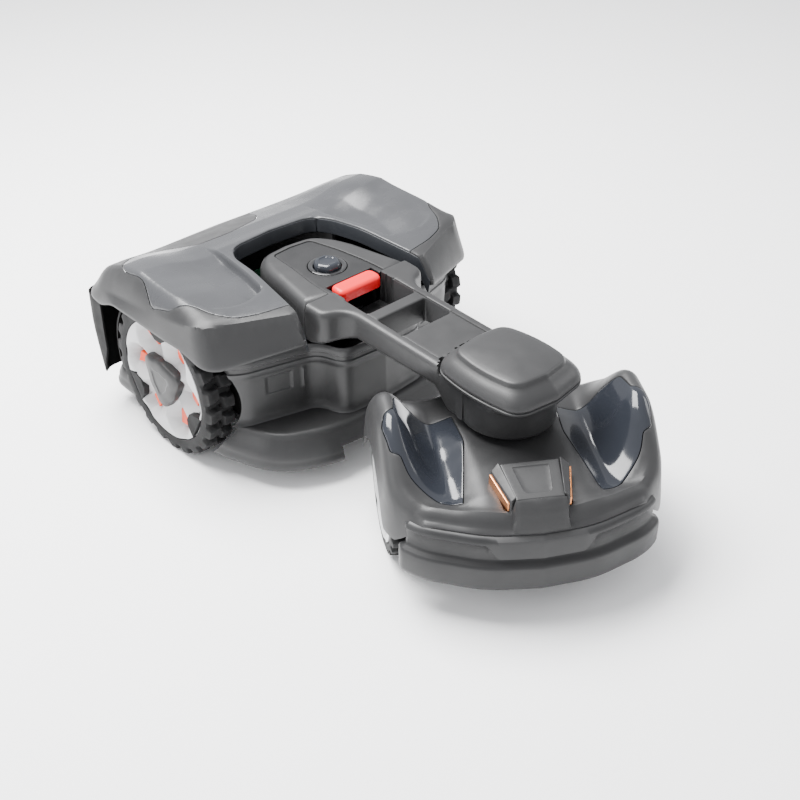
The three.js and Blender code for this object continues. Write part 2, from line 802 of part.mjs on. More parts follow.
// A solid whose top follows topAt over rings shrunk towards the middle of the outline.
function moundOver(outline, topAt, lipAt) {
  const rings = [
    [1, 0],
    [1, 0.6],
    [0.96, 0.95],
    [0.86, 1],
    [0.7, 1],
    [0.4, 1],
  ];
  const n = outline.length;
  const points = [];
  const index = [];
  for (const [share, rise] of rings) {
    for (const [x0, y0] of outline) {
      const [x, y] = [x0 * share, y0 * share];
      points.push(x, y, lerp(lipAt(x, y), topAt(x, y), rise));
    }
  }
  for (let k = 0; k + 1 < rings.length; k++) {
    for (let i = 0; i < n; i++) {
      const j = (i + 1) % n;
      index.push(k * n + i, k * n + j, (k + 1) * n + j, k * n + i, (k + 1) * n + j, (k + 1) * n + i);
    }
  }
  const crown = rings.length * n;
  points.push(0, 0, topAt(0, 0), 0, 0, lipAt(0, 0));
  for (let i = 0; i < n; i++) {
    const j = (i + 1) % n;
    index.push(crown - n + i, crown - n + j, crown, crown + 1, j, i);
  }
  const geometry = new THREE.BufferGeometry();
  geometry.setAttribute("position", new THREE.Float32BufferAttribute(points, 3));
  geometry.setIndex(index);
  return solid(geometry);
}

function windowTool(side, d) {
  const plan = inset(
    rounded(
      [
        [94, -154, 4],
        [122, -146, 10],
        [166, -102, 10],
        [182, -58, 6],
        [168, -12, 6],
        [140, 20, 8],
        [76, 20, 4],
        [71, -40, 6],
      ],
      2,
    ),
    d,
  ).map(([x, y]) => [side * x, y]);
  return prism(side > 0 ? plan : plan.reverse(), 60, 280);
}

const coverBody = (depth) =>
  moundOver(
    inset(frontOutline(coverHalf), depth),
    (x, y) => coverTop(x, y) - depth,
    (x, y) => coverLip(x, y) - (depth > 0 ? 14 : 0),
  );
const coverShell = cut(coverBody(0), coverBody(WALL));
const columnGate = upright(27, 90, 260, 0, 0, 28);
const blockPlan = [[-36, -192], [36, -192], [44, -121], [-44, -121]];
const blockSeat = prism(inset(blockPlan, -2.5), 130, 260);

add(
  front,
  "front_cover",
  cut(coverShell, columnGate, blockSeat, windowTool(1, 0), windowTool(-1, 0)),
  SHELL,
);
for (const [side, sign] of [["left", 1], ["right", -1]]) {
  add(front, `front_window_${side}`, coverShell.intersect(windowTool(sign, 0.5)), GLOSS);
}

function frontBumper() {
  const bow = (d) =>
    frontOutline([
      [0, -229 + d, 0],
      [76, -222 + d, 30],
      [160 - d, -184 + d, 22],
      [181 - d, -156, 6],
      [170 - d, -146, 0],
      [0, -146, 0],
    ]);
  const shell = stack(bow(0), [
    { z: 57, in: 3 },
    { z: 62, in: 0 },
    { z: 94, in: 0 },
    { z: 100, in: 8 },
    { z: (x, y) => Math.min(138, coverLip(x, y) - 6), in: 13 },
  ]);
  const hollow = stack(bow(3.5), [
    { z: 50, in: 3 },
    { z: 92, in: 0 },
    { z: 100, in: 8 },
    { z: 160, in: 12 },
  ]);
  return cut(shell, hollow, box(-190, 190, -161, 0, 20, 160));
}
add(front, "front_bumper", frontBumper(), DARK);

function chargeBlock() {
  return cut(
    prism(blockPlan, 146, 194),
    prismX([[-200, 183], [-100, 196], [-100, 220], [-200, 220]], -60, 60),
  );
}
add(front, "charge_block", chargeBlock(), SHELL);
for (const [side, sign] of [["left", 1], ["right", -1]]) {
  const a = [sign * (37.1 + GAP), -182];
  const b = [sign * (43 + GAP), -130];
  const plate = [a, [a[0] + sign * 1.6, -182], [b[0] + sign * 1.6, -130], b];
  add(front, `charge_contact_${side}`, prism(sign > 0 ? plate : plate.reverse(), 165, 183), COPPER);
}

// The steering column hangs from the pod's gear and ends in a fork that holds the roll shaft.
function steeringColumn() {
  const shaft = upright(12, ROLL_Z + 14, POD.seam - 12, 0, 0, 16);
  const collar = upright(20, POD.bottom - 9, POD.bottom - 1, 0, 0, 20);
  const fork = box(-14, 14, -26, 26, ROLL_Z - 12, ROLL_Z + 16);
  return cut(join(shaft, collar, fork), lengthwise(8 + GAP, -60, 60, 0, ROLL_Z));
}
function steeringGear() {
  const teeth = gearOutline(GEAR.wheel, GEAR.module, Math.PI / 2 - STEER_REST + Math.PI / GEAR.wheel);
  return cut(prism(teeth, GEAR.z, GEAR.z + GEAR.thick), upright(12 + GAP, 190, 230, 0, 0, 16));
}
function rollShaft() {
  return join(
    lengthwise(8, -60, 60, 0, ROLL_Z),
    box(-16, 16, -66, -52, 71 + GAP, ROLL_Z + 12),
    box(-16, 16, 52, 66, 71 + GAP, ROLL_Z + 12),
  );
}
add(front, "steering_column", steeringColumn(), BLACK);
add(front, "steering_gear", steeringGear(), STEEL);
add(front, "roll_shaft", rollShaft(), STEEL);
add(machine, "steering_motor", steeringMotor(), BLACK);
add(machine, "steering_pinion", steeringPinion(), STEEL);

addWheelSet(front, "front", FRONT_WHEEL, FRONT_AXLE_Y);

export default machine;
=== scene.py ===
"""Looks of an articulated robotic lawn mower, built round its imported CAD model."""
import json
import math

import bmesh
import bpy
import numpy as np
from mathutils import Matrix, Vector
from mathutils.geometry import delaunay_2d_cdt


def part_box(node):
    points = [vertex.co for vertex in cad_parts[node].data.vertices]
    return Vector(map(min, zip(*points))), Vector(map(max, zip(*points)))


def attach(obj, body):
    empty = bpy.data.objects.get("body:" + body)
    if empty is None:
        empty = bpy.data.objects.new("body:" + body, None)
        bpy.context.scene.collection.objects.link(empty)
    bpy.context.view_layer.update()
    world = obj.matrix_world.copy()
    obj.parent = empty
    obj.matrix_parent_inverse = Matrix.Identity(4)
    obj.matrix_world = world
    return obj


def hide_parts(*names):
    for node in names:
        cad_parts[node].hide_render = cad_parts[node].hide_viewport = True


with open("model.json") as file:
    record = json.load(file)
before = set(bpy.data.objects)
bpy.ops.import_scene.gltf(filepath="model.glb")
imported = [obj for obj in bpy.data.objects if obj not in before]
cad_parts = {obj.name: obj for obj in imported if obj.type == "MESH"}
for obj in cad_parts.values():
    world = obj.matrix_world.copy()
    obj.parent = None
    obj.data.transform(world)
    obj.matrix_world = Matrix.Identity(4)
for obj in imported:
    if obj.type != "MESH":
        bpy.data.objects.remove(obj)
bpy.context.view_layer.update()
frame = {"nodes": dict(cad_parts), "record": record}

# ---- Camera, light and floor -------------------------------------------------------------------


def aim(obj, place, target):
    obj.location = place
    obj.rotation_euler = (Vector(target) - Vector(place)).to_track_quat("-Z", "Y").to_euler()
    bpy.context.scene.collection.objects.link(obj)


camera = bpy.data.objects.new("camera", bpy.data.cameras.new("camera"))
camera.data.lens = 57.85
camera.data.sensor_width = 36
camera.data.clip_end = 50
aim(camera, (-1.1179, -1.2166, 1.2394), (-0.0026, -0.0147, 0.0972))
bpy.context.scene.camera = camera


def soft_light(name, place, size, watts, target=(0, 0, 0.1), size_y=None):
    light = bpy.data.lights.new(name, "AREA")
    light.shape = "RECTANGLE"
    light.size, light.size_y, light.energy = size, size_y or size, watts
    aim(bpy.data.objects.new(name, light), place, target)


soft_light("overhead", (-0.3, 0.9, 2.3), 2.0, 290, size_y=1.5)
soft_light("left_window", (-2.4, 0.6, 1.3), 1.4, 17, size_y=0.8)
soft_light("right_window", (2.2, -1.2, 1.3), 1.2, 14, size_y=0.7)
soft_light("front_fill", (-0.4, -2.6, 1.0), 1.6, 5, size_y=0.7)

world = bpy.data.worlds.new("studio")
world.use_nodes = True
world.node_tree.nodes["Background"].inputs[0].default_value = (0.96, 0.97, 1.0, 1)
world.node_tree.nodes["Background"].inputs[1].default_value = 1.1
bpy.context.scene.world = world

# ---- Materials ---------------------------------------------------------------------------------


COAT_ROUGH = 0.05
GRAIN_DEPTH = 0.0003  # metres
CLOUDS, SPECKS, GLOSS_PATCHES, STREAKS = 7.0, 1400.0, 35.0, 60.0  # noise scales, per metre
WORN_FROM, WORN_TO = 0.505, 0.56  # pointiness of an edge that starts to rub, and of a rubbed one


def material(name, colour, rough, grain=0.0, grain_size=0.0006, spread=0.12, worn=0.0, metal=0.0,
             coat=0.0, specular=0.35, brushed=False):
    """Moulded, painted or metal finish: cloudy colour, uneven gloss, fine grain, worn edges."""
    mat = bpy.data.materials.new(name)
    mat.use_nodes = True
    tree = mat.node_tree
    new, link = tree.nodes.new, tree.links.new
    shader = tree.nodes["Principled BSDF"]
    shader.inputs["Metallic"].default_value = metal
    shader.inputs["Specular IOR Level"].default_value = specular
    shader.inputs["Coat Weight"].default_value = coat
    shader.inputs["Coat Roughness"].default_value = COAT_ROUGH
    place = new("ShaderNodeTexCoord")

    def noise(scale, detail=3.0, stretch=None):
        tex = new("ShaderNodeTexNoise")
        tex.inputs["Scale"].default_value = scale
        tex.inputs["Detail"].default_value = detail
        if stretch:
            mapping = new("ShaderNodeMapping")
            mapping.inputs["Scale"].default_value = stretch
            link(place.outputs["Object"], mapping.inputs["Vector"])
            link(mapping.outputs["Vector"], tex.inputs["Vector"])
        else:
            link(place.outputs["Object"], tex.inputs["Vector"])
        return tex.outputs["Fac"]

    def scaled(value, low, high, a=0.3, b=0.7):
        node = new("ShaderNodeMapRange")
        node.inputs["From Min"].default_value, node.inputs["From Max"].default_value = a, b
        node.inputs["To Min"].default_value, node.inputs["To Max"].default_value = low, high
        link(value, node.inputs["Value"])
        return node.outputs["Result"]

    def mixed(factor, a, b):
        node = new("ShaderNodeMix")
        node.data_type = "RGBA"
        link(factor, node.inputs["Factor"])
        for socket, value in (("A", a), ("B", b)):
            target = [s for s in node.inputs if s.name == socket and s.type == "RGBA"][0]
            if isinstance(value, tuple):
                target.default_value = (*value, 1)
            else:
                link(value, target)
        return [s for s in node.outputs if s.type == "RGBA"][0]

    dark = tuple(c * (1 - spread) for c in colour)
    light = tuple(min(1, c * (1 + spread)) for c in colour)
    tone = mixed(scaled(noise(CLOUDS), 0, 1), dark, light)
    speck = mixed(scaled(noise(SPECKS, 1.0), 0.0, 0.35, 0.35, 0.75), tone, light)
    if worn:
        edge = new("ShaderNodeNewGeometry")
        rubbed = scaled(edge.outputs["Pointiness"], 0.0, worn, WORN_FROM, WORN_TO)
        speck = mixed(rubbed, speck, tuple(min(1, c * 1.9 + 0.02) for c in colour))
    link(speck, shader.inputs["Base Color"])
    gloss = noise(STREAKS, 2.0, (1, 1, 40)) if brushed else noise(GLOSS_PATCHES, 4.0)
    link(scaled(gloss, max(0.02, rough - 0.05), rough + 0.06), shader.inputs["Roughness"])
    if grain:
        bump = new("ShaderNodeBump")
        bump.inputs["Strength"].default_value = grain
        bump.inputs["Distance"].default_value = GRAIN_DEPTH
        stretch = (1, 1, 30) if brushed else None
        link(noise(1.0 / grain_size, 2.0, stretch), bump.inputs["Height"])
        link(bump.outputs["Normal"], shader.inputs["Normal"])
    return mat


FINISH = {
    "shell": material("shell_grey", (0.022, 0.022, 0.0225), 0.40, 0.10, worn=0.25),
    "panel": material("panel_grey", (0.043, 0.044, 0.047), 0.26, 0.05, worn=0.15),
    "dark": material("dark_grey", (0.013, 0.013, 0.0135), 0.42, 0.12, worn=0.25),
    "black": material("black_plastic", (0.003, 0.003, 0.003), 0.6, 0.15, specular=0.15),
    "gloss": material("smoked_gloss", (0.016, 0.018, 0.023), 0.12, 0.0, coat=0.15, spread=0.05),
    "red": material("stop_red", (0.74, 0.007, 0.011), 0.38, 0.08, spread=0.05, worn=0.1),
    "white": material("rim_white", (0.44, 0.443, 0.447), 0.32, 0.05, spread=0.03),
    "orange": material("accent_orange", (0.70, 0.050, 0.003), 0.40, 0.08, spread=0.05),
    "tyre": material("tyre_rubber", (0.007, 0.007, 0.0073), 0.68, 0.35, 0.0009, worn=0.3,
                     specular=0.2),
    "rubber": material("post_rubber", (0.02, 0.02, 0.02), 0.75, 0.3),
    "steel": material("steel", (0.56, 0.57, 0.58), 0.28, 0.1, metal=1.0, brushed=True),
    "copper": material("copper", (0.62, 0.25, 0.10), 0.30, 0.1, metal=1.0, brushed=True),
    "board": material("circuit_board", (0.015, 0.10, 0.045), 0.45, 0.3, 0.0015, spread=0.4),
    "cell": material("battery_wrap", (0.02, 0.024, 0.034), 0.50, 0.15, spread=0.2),
}
TRIM = material("trim_slate", (0.016, 0.0175, 0.0205), 0.33, 0.06, worn=0.2)
PLATE = material("plate_grey", (0.009, 0.009, 0.0095), 0.42, 0.14, worn=0.1)
RING = material("dial_smoke", (0.005, 0.005, 0.0055), 0.07, 0.0, coat=1.0, spread=0.05)
FLOOR = material("paper", (0.97, 0.97, 0.97), 0.9, 0.02, spread=0.005, specular=0.1)

REACH = 9  # metres of floor each way
floor_mesh = bpy.data.meshes.new("floor")
floor_mesh.from_pydata([(x * REACH, y * REACH, 0) for x, y in ((-1, -1), (1, -1), (1, 1), (-1, 1))],
                       [], [(0, 1, 2, 3)])
floor = bpy.data.objects.new("floor", floor_mesh)
floor.location.z = -0.0006
floor_mesh.materials.append(FLOOR)
bpy.context.scene.collection.objects.link(floor)

SLOT_OF = {part["node"]: part["material_slot"] for part in frame["record"]["subparts"]}
for node, obj in frame["nodes"].items():
    obj.data.materials.clear()
    obj.data.materials.append(FINISH[SLOT_OF[node]])

# ---- Frames: everything below is drawn in millimetres ------------------------------------------


MM = 1000  # in a metre
SIDES = (("left", 1), ("right", -1))


def middle(node):
    low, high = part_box(node)
    return (low + high) * (MM / 2)


AXLE = middle("rear_tyre_left").y  # the rear body is drawn from its axle
PIVOT = middle("steering_column").y  # the front module from the steering axis
PIVOT_Y = PIVOT - AXLE
TURN = math.radians(-33.5)  # of the front module at rest


def rear(points):
    return (np.asarray(points, float) + [0, AXLE, 0]) / MM


def front(points):
    x, y, z = np.asarray(points, float).T
    c, s = math.cos(TURN), math.sin(TURN)
    return np.stack([c * x - s * y, PIVOT + s * x + c * y, z], 1) / MM


# ---- Mesh tools --------------------------------------------------------------------------------


def mesh_of(name, points, faces, place, merge=False):
    mesh = bpy.data.meshes.new(name)
    mesh.from_pydata([tuple(p) for p in place(points)], [],
                     [tuple(int(i) for i in f) for f in faces])
    work = bmesh.new()
    work.from_mesh(mesh)
    if merge:
        bmesh.ops.remove_doubles(work, verts=work.verts, dist=1e-6)
    bmesh.ops.recalc_face_normals(work, faces=work.faces)
    work.to_mesh(mesh)
    work.free()
    return mesh


def build(name, points, faces, place, body, finish, slot, stands_for=(), sharp=30):
    """A smooth-shaded piece, its creases kept sharp, riding on a body."""
    mesh = mesh_of(name, points, faces, place, merge=True)
    return finished(name, mesh, body, finish, stands_for, sharp)


def finished(name, mesh, body, finish, stands_for=(), sharp=30):
    """Turns a mesh into a piece: its finish, its shading, its body and the nodes it stands for."""
    obj = bpy.data.objects.new(name, mesh)
    bpy.context.scene.collection.objects.link(obj)
    mesh.materials.clear()
    mesh.materials.append(finish)
    mesh.polygons.foreach_set("use_smooth", [True] * len(mesh.polygons))
    mesh.set_sharp_from_angle(angle=math.radians(sharp))
    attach(obj, body)
    if stands_for:
        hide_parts(*stands_for)
    return obj


def bake(obj):
    """Replaces an object's mesh with what its modifiers make of it."""
    graph = bpy.context.evaluated_depsgraph_get()
    graph.update()
    obj.data = bpy.data.meshes.new_from_object(obj.evaluated_get(graph))
    obj.modifiers.clear()


def rounded(corners, steps=8, closed=True):
    """Corners (x, y, radius) become an outline whose corners are rounded."""
    out = []
    for i, corner in enumerate(corners):
        p = np.array(corner[:2], float)
        radius = corner[2] if len(corner) > 2 else 0
        if not radius or (not closed and i in (0, len(corners) - 1)):
            out.append(p)
            continue
        a = np.array(corners[i - 1][:2], float) - p
        b = np.array(corners[(i + 1) % len(corners)][:2], float) - p
        a, b = p + a / np.linalg.norm(a) * radius, p + b / np.linalg.norm(b) * radius
        for t in np.linspace(0, 1, steps + 1):
            out.append((1 - t) ** 2 * a + 2 * t * (1 - t) * p + t * t * b)
    return np.array(out)


def resample(line, gap, closed=True):
    line = np.vstack([line, line[:1]]) if closed else np.asarray(line, float)
    out = []
    for a, b in zip(line[:-1], line[1:]):
        n = max(1, round(float(np.linalg.norm(b - a)) / gap))
        out += [a + (b - a) * k / n for k in range(n)]
    if not closed:
        out.append(line[-1])
    out = np.array(out)
    keep = np.linalg.norm(np.diff(out, axis=0, prepend=out[-1:] + 1), axis=1) > 0.05
    return out[keep]


def mirrored(half):
    """The +X half of an outline, from x = 0 to x = 0, becomes the whole."""
    half = np.asarray(half, float)
    return np.vstack([half, half[1:-1][::-1] * [-1, 1]])


def out_and_back(half):
    """An open line from its +X end to x = 0 goes on to its -X end."""
    return np.vstack([half, half[:-1][::-1] * [-1, 1]])


def across(half):
    """An open line from x = 0 to its +X end, led up to from its -X end."""
    return np.vstack([half[::-1] * [-1, 1], half[1:]])


def normals(line, closed=True):
    """Unit normals on the left of the line's direction."""
    if closed:
        d = np.roll(line, -1, 0) - np.roll(line, 1, 0)
    else:
        d = np.gradient(line, axis=0)
    d /= np.linalg.norm(d, axis=1)[:, None]
    return np.stack([-d[:, 1], d[:, 0]], 1)


def towards(line, way):
    """An open line's normals, turned so that the middle one points to +Y or -Y."""
    n = normals(line, False)
    return n if n[len(n) // 2][1] * way > 0 else -n


def offset(line, d, closed=False):
    return line + normals(line, closed) * d


def counterclockwise(loop):
    x, y = loop[:, 0], loop[:, 1]
    return np.sum(x * np.roll(y, -1) - np.roll(x, -1) * y) > 0


def shrunk(loop, d):
    return offset(loop, d if counterclockwise(loop) else -d, True)


def away(points, line, closed=True):
    """Distance of each point from a line."""
    a = np.asarray(line, float)
    b = np.roll(a, -1, 0) if closed else a[1:]
    a = a if closed else a[:-1]
    best = np.full(len(points), 1e9)
    for start in range(0, len(points), 4000):
        p = points[start:start + 4000]
        ab = (b - a)[None]
        ap = p[:, None] - a[None]
        t = np.clip((ap * ab).sum(2) / np.maximum((ab * ab).sum(2), 1e-9), 0, 1)
        best[start:start + 4000] = np.linalg.norm(ap - ab * t[..., None], axis=2).min(1)
    return best


def inside(points, loop):
    x, y = points[:, 0][:, None], points[:, 1][:, None]
    a, b = loop, np.roll(loop, -1, 0)
    span = (a[:, 1] > y) != (b[:, 1] > y)
    rise = np.where(np.abs(b[:, 1] - a[:, 1]) < 1e-12, 1e-12, b[:, 1] - a[:, 1])
    return ((x < a[:, 0] + (y - a[:, 1]) * (b[:, 0] - a[:, 0]) / rise) & span).sum(1) % 2 == 1


def smooth(t):
    t = np.clip(t, 0, 1)
    return t * t * (3 - 2 * t)


def ramp(t, a, b):
    return np.clip((t - a) / (b - a), 0, 1)


def edge_drop(d, r):
    """How far a surface falls beside an edge rounded to radius r, d away from it."""
    t = np.clip(d, 0, r)
    return r - np.sqrt(np.maximum(r * r - (r - t) ** 2, 0))


THINNEST = 0.4


def level(z):
    """A flat top or bottom for a slab."""
    return lambda p: np.full(len(p), float(z))


def slab(outline, top, bottom, step, holes=(), rings=(), hole_rings=(), lines=()):
    """A closed solid over a plan: its top and bottom heights are functions of (x, y).
    Points are laid along the edges at the `rings` distances from them, and on a grid between."""
    loops = [np.asarray(outline)] + [np.asarray(h) for h in holes]
    laid = []
    for k, loop in enumerate(loops):
        n = normals(loop)
        side = (1 if counterclockwise(loop) else -1) * (1 if k == 0 else -1)
        for d in (rings if k == 0 else hole_rings):
            laid.append((loop + n * side * d, k, d))
    low, high = loops[0].min(0), loops[0].max(0)
    row_gap = step * 0.866  # rows of equal-sided triangles
    gx, gy = np.meshgrid(np.arange(low[0], high[0] + step, step),
                         np.arange(low[1], high[1] + row_gap, row_gap))
    gx[1::2] += step / 2
    grid = np.stack([gx.ravel(), gy.ravel()], 1)

    def keep(p, gaps):
        ok = inside(p, loops[0])
        for h in loops[1:]:
            ok &= ~inside(p, h)
        p = p[ok]
        for k, loop in enumerate(loops):
            p = p[away(p, loop) > gaps[k]]
        return p

    reach = [max((0, *rings)) + step / 2] + [max((0, *hole_rings)) + step / 2] * len(holes)
    grid = keep(grid, reach)
    for line in lines:
        grid = grid[away(grid, np.asarray(line), closed=False) > step * 0.4]
    points = [grid]
    for line, k, d in laid:
        gaps = [0.12] * len(loops)
        gaps[k] = d * 0.93
        points.append(keep(line, gaps))
    for line in lines:
        points.append(keep(np.asarray(line), [0.3] * len(loops)))
    verts, edges = [], []
    for loop in loops:
        base = len(verts)
        verts += [Vector(p) for p in loop]
        edges += [(base + i, base + (i + 1) % len(loop)) for i in range(len(loop))]
    verts += [Vector(p) for group in points for p in group]
    v, _, faces, *_ = delaunay_2d_cdt(verts, edges, [], 0, 1e-3)
    v = np.array([tuple(p) for p in v])
    faces = np.array([f for f in faces])
    mid = v[faces].mean(1)
    ok = inside(mid, loops[0])
    for h in loops[1:]:
        ok &= ~inside(mid, h)
    faces = faces[ok]
    a, b, c = v[faces[:, 0]], v[faces[:, 1]], v[faces[:, 2]]
    turn = (b[:, 0] - a[:, 0]) * (c[:, 1] - a[:, 1]) - (b[:, 1] - a[:, 1]) * (c[:, 0] - a[:, 0])
    faces[turn < 0] = faces[turn < 0][:, ::-1]
    used, flat = np.unique(faces, return_inverse=True)
    v, faces = v[used], flat.reshape(faces.shape)
    n = len(v)
    zt = top(v)
    zb = np.minimum(bottom(v), zt - THINNEST)
    both = np.vstack([np.column_stack([v, zt]), np.column_stack([v, zb])])
    sides = {(f[i], f[(i + 1) % 3]): True for f in faces for i in range(3)}
    rim = [(p, q) for p, q in sides if (q, p) not in sides]
    out = [tuple(f) for f in faces] + [tuple(f[::-1] + n) for f in faces]
    out += [(q, p, p + n, q + n) for p, q in rim]
    return both, out


def quads(r, c, wrap=False):
    """Faces between r closed rings of c points, and from the last ring to the first."""
    return [(k * c + i, k * c + (i + 1) % c, (k + 1) % r * c + (i + 1) % c, (k + 1) % r * c + i)
            for k in range(r if wrap else r - 1) for i in range(c)]


def tube(rows):
    """Closed rings, or sections along a path, become a skin with flat ends."""
    rows = np.asarray(rows)
    r, c = rows.shape[:2]
    ends = [tuple(range(c))[::-1], tuple((r - 1) * c + i for i in range(c))]
    return rows.reshape(-1, 3), quads(r, c) + ends


def torus(rows):
    """Closed rings whose last joins the first."""
    rows = np.asarray(rows)
    return rows.reshape(-1, 3), quads(*rows.shape[:2], wrap=True)


def turn(count, start=0.0):
    """Angles all the way round."""
    return np.linspace(0, 2 * math.pi, count + 1)[:-1] + start


def circle(radius, count, y=0):
    return np.array([(radius * math.cos(a), y + radius * math.sin(a)) for a in turn(count)])


# ---- Hood --------------------------------------------------------------------------------------
HOOD_SIDE = [(128, -194, 7), (269, -133, 26), (275, -40, 20), (275, 140, 20), (269, 198, 36),
             (150, 222, 40), (0, 227, 0)]
U_EDGE = [(0, 58, 0), (76, 52, 18), (98, 26, 22), (128, -194, 0)]


def hood_outer():
    corner = rounded([(127.5, -188), (128, -194, 6), (200, -162.8)], 5, closed=False)
    rest = rounded([(200, -162.8)] + HOOD_SIDE[1:], 10, closed=False)
    half = np.vstack([corner[:-1], rest])
    return resample(out_and_back(half), 4.0, closed=False)


HOOD_OUTER = hood_outer()
U_HALF = rounded(U_EDGE[:3] + [(127.5, -188)], 8, closed=False)  # from the back middle to the front
U_LINE = resample(across(U_HALF), 4.0, closed=False)  # from the -X front to the +X front


def hood_top(p):
    x, y = p[:, 0], p[:, 1]
    ax = np.abs(x)
    crown = np.interp(y, [-194, -150, -100, -40, 60, 110, 160, 205, 230],
                      [267, 269, 273, 278, 281, 269, 249, 230, 224])
    dip = 9 * (1 - smooth(ramp(ax, 100, 205))) * smooth(ramp(y, -70, 70)) * (1 - ramp(y, 80, 205))
    fender = (4 + 4 * smooth(ramp(y, 20, 100))) * smooth(ramp(ax, 130, 215))
    fender *= smooth(ramp(y, -150, -40)) * (1 - smooth(ramp(y, 140, 205)))
    within = ax - np.interp(y, [-90, 40], [126, 104])
    ahead = y + 88 + 15 * np.sin(np.pi * ramp(ax, 124, 230))
    outer = np.interp(y, [-90, -10, 60, 110], [226, 246, 243, 214]) - ax
    slope = np.minimum(ramp(outer, 0, 82), 1) ** 1.1
    recess = 14 * smooth(within / 6) * smooth(ahead / 8) * slope * smooth((104 - y) / 90)
    return crown - dip + fender - recess


LIP = 207  # height of the hood's lower edge beside and behind the wheels
ARCH_RISE = 15
SKIN = 2.6


def hood_lip(p):
    ax, y = np.abs(p[:, 0]), p[:, 1]
    ahead = 226 - 19 * ramp(ax, 130, 250)
    over_wheel = smooth(ramp(y, -140, -60)) * (1 - smooth(ramp(y, 100, 150)))
    arch = ARCH_RISE * smooth(ramp(ax, 235, 255)) * over_wheel
    lip = np.minimum(ahead, ahead + (LIP - ahead) * ramp(y, -120, 0))
    return np.where(y < 100, lip, LIP) + arch


def hood_height(p):
    y = p[:, 1]
    d = away(p, HOOD_OUTER, closed=False)
    at_front = smooth((-y - 95) / 40)
    lean = hood_lean(p)
    crease = np.interp(y, [-200, -133, -104, 8, 120, 161, 205, 230],
                       [265, 267, 268, 246, 232, 228, 224, 222])
    lip, top = hood_lip(p), hood_top(p)
    wall = lip + (crease - lip) * np.clip(d / lean, 0, 1) ** 0.8
    s = np.clip((d - lean) / (26 - 6 * at_front), 0, 1)
    z = np.where(d < lean, wall, crease + (top - crease) * (1 - (1 - s) ** 2))
    return z - edge_drop(away(p, U_LINE, closed=False), 2.2)


PANEL_EDGE = [  # from the -X front end round to the +X front end
    (-121.4, -147), (-169, -139, 14), (-208, -125, 12), (-228, -100, 12), (-240, -66, 10),
    (-261, -40, 8), (-265, 6, 8), (-250, 44, 8), (-252, 108, 26), (-205, 146, 20), (-142, 148, 6),
    (-103, 110, 8), (-35, 109, 24), (26, 128, 8), (44, 150, 8), (52, 188, 6), (150, 184, 30),
    (225, 162, 34), (252, 108, 24), (250, 44, 8), (265, 6, 8), (261, -40, 8), (240, -66, 10),
    (228, -100, 12), (208, -125, 12), (169, -139, 14), (121.4, -147)]
SEAM = 0.55  # half the gap between two covers
SEAM_EDGE = 0.7  # radius of the edges beside it


seam_line = resample(rounded(PANEL_EDGE, 5, closed=False), 3.5, closed=False)
u_front = U_LINE[:, 1] < -147.9
u_back = U_LINE[:, 1] > -145.6
u_left, u_right = U_LINE[u_front & (U_LINE[:, 0] < 0)], U_LINE[u_front & (U_LINE[:, 0] > 0)]
shell_loop = np.vstack([HOOD_OUTER, u_left[1:], offset(seam_line, SEAM), u_right[:-1]])
panel_loop = np.vstack([offset(seam_line, -SEAM), U_LINE[u_back][::-1]])


def hood_lean(p):
    return 7 + 16 * smooth((-p[:, 1] - 95) / 40) + 9 * smooth((p[:, 1] - 150) / 50)


recess_lines = []
for sign in (1, -1):
    ys = np.arange(-78, 100, 3.0)
    recess_lines += [np.column_stack([sign * (np.interp(ys, [-90, 40], [126, 104]) + e), ys])
                     for e in (0, 1.5, 3, 4.5, 6)]
    us = np.arange(136, 226, 3.0)
    recess_lines += [np.column_stack([sign * us, e - 88 - 15 * np.sin(np.pi * ramp(us, 124, 230))])
                     for e in (0, 2, 4, 6, 8)]


def beside(loop, r):
    return lambda p: hood_height(p) - edge_drop(away(p, loop, closed=False), r)


shell_top = beside(offset(seam_line, SEAM), SEAM_EDGE)
panel_top = beside(offset(seam_line, -SEAM), SEAM_EDGE)
across_wall = normals(HOOD_OUTER, False)
lean_here = hood_lean(HOOD_OUTER)[:, None]
wall_lines = [HOOD_OUTER + across_wall * lean_here * t for t in (0.06, 0.3, 0.6, 0.85, 1.0)]
wall_lines += [HOOD_OUTER + across_wall * (lean_here + d) for d in (1.5, 3.5, 6, 9, 13, 18, 24)]
wall_lines += recess_lines
points, faces = slab(shell_loop, shell_top, lambda p: shell_top(p) - SKIN, 5.0,
                     rings=(0.25, 0.7), lines=wall_lines)
build("hood_shell", points, faces, rear, "hood", FINISH["shell"], "shell", ["rear_hood"])
points, faces = slab(panel_loop, panel_top, lambda p: panel_top(p) - SKIN, 3.6,
                     rings=(0.25, 0.7, 1.5, 3.0), lines=wall_lines)
build("hood_top_panel", points, faces, rear, "hood", FINISH["panel"], "panel", ["hood_panel"])

inward = towards(U_LINE, -1)  # into the opening
edge_z = hood_height(U_LINE + inward * -3)
TRIM_SECTION = [(-0.6, -3.4), (0.9, -3.8), (1.9, -9), (3.8, -19), (4.2, -25), (3.0, -26.5),
                (1.4, -25), (0.4, -12), (-1.0, -6)]
rows = [[(*(q + n * e), max(z + dz, LIP + 1 + 0.2 * dz)) for e, dz in TRIM_SECTION]
        for q, n, z in zip(U_LINE, inward, edge_z)]
points, faces = tube(rows)
build("hood_edge_trim", points, faces, rear, "hood", TRIM, "dark", ["hood_trim"], sharp=40)

# ---- Front cover, windows, charge block and bumper ---------------------------------------------
COVER_SIDE = [(0, -212, 0), (70, -206, 30), (165, -166, 26), (197, -126, 24), (200, 40, 16),
              (196, 86, 18), (160, 100, 16), (0, 100, 0)]
COVER_OUTER = resample(mirrored(rounded(COVER_SIDE, 10, closed=False)), 4.0)


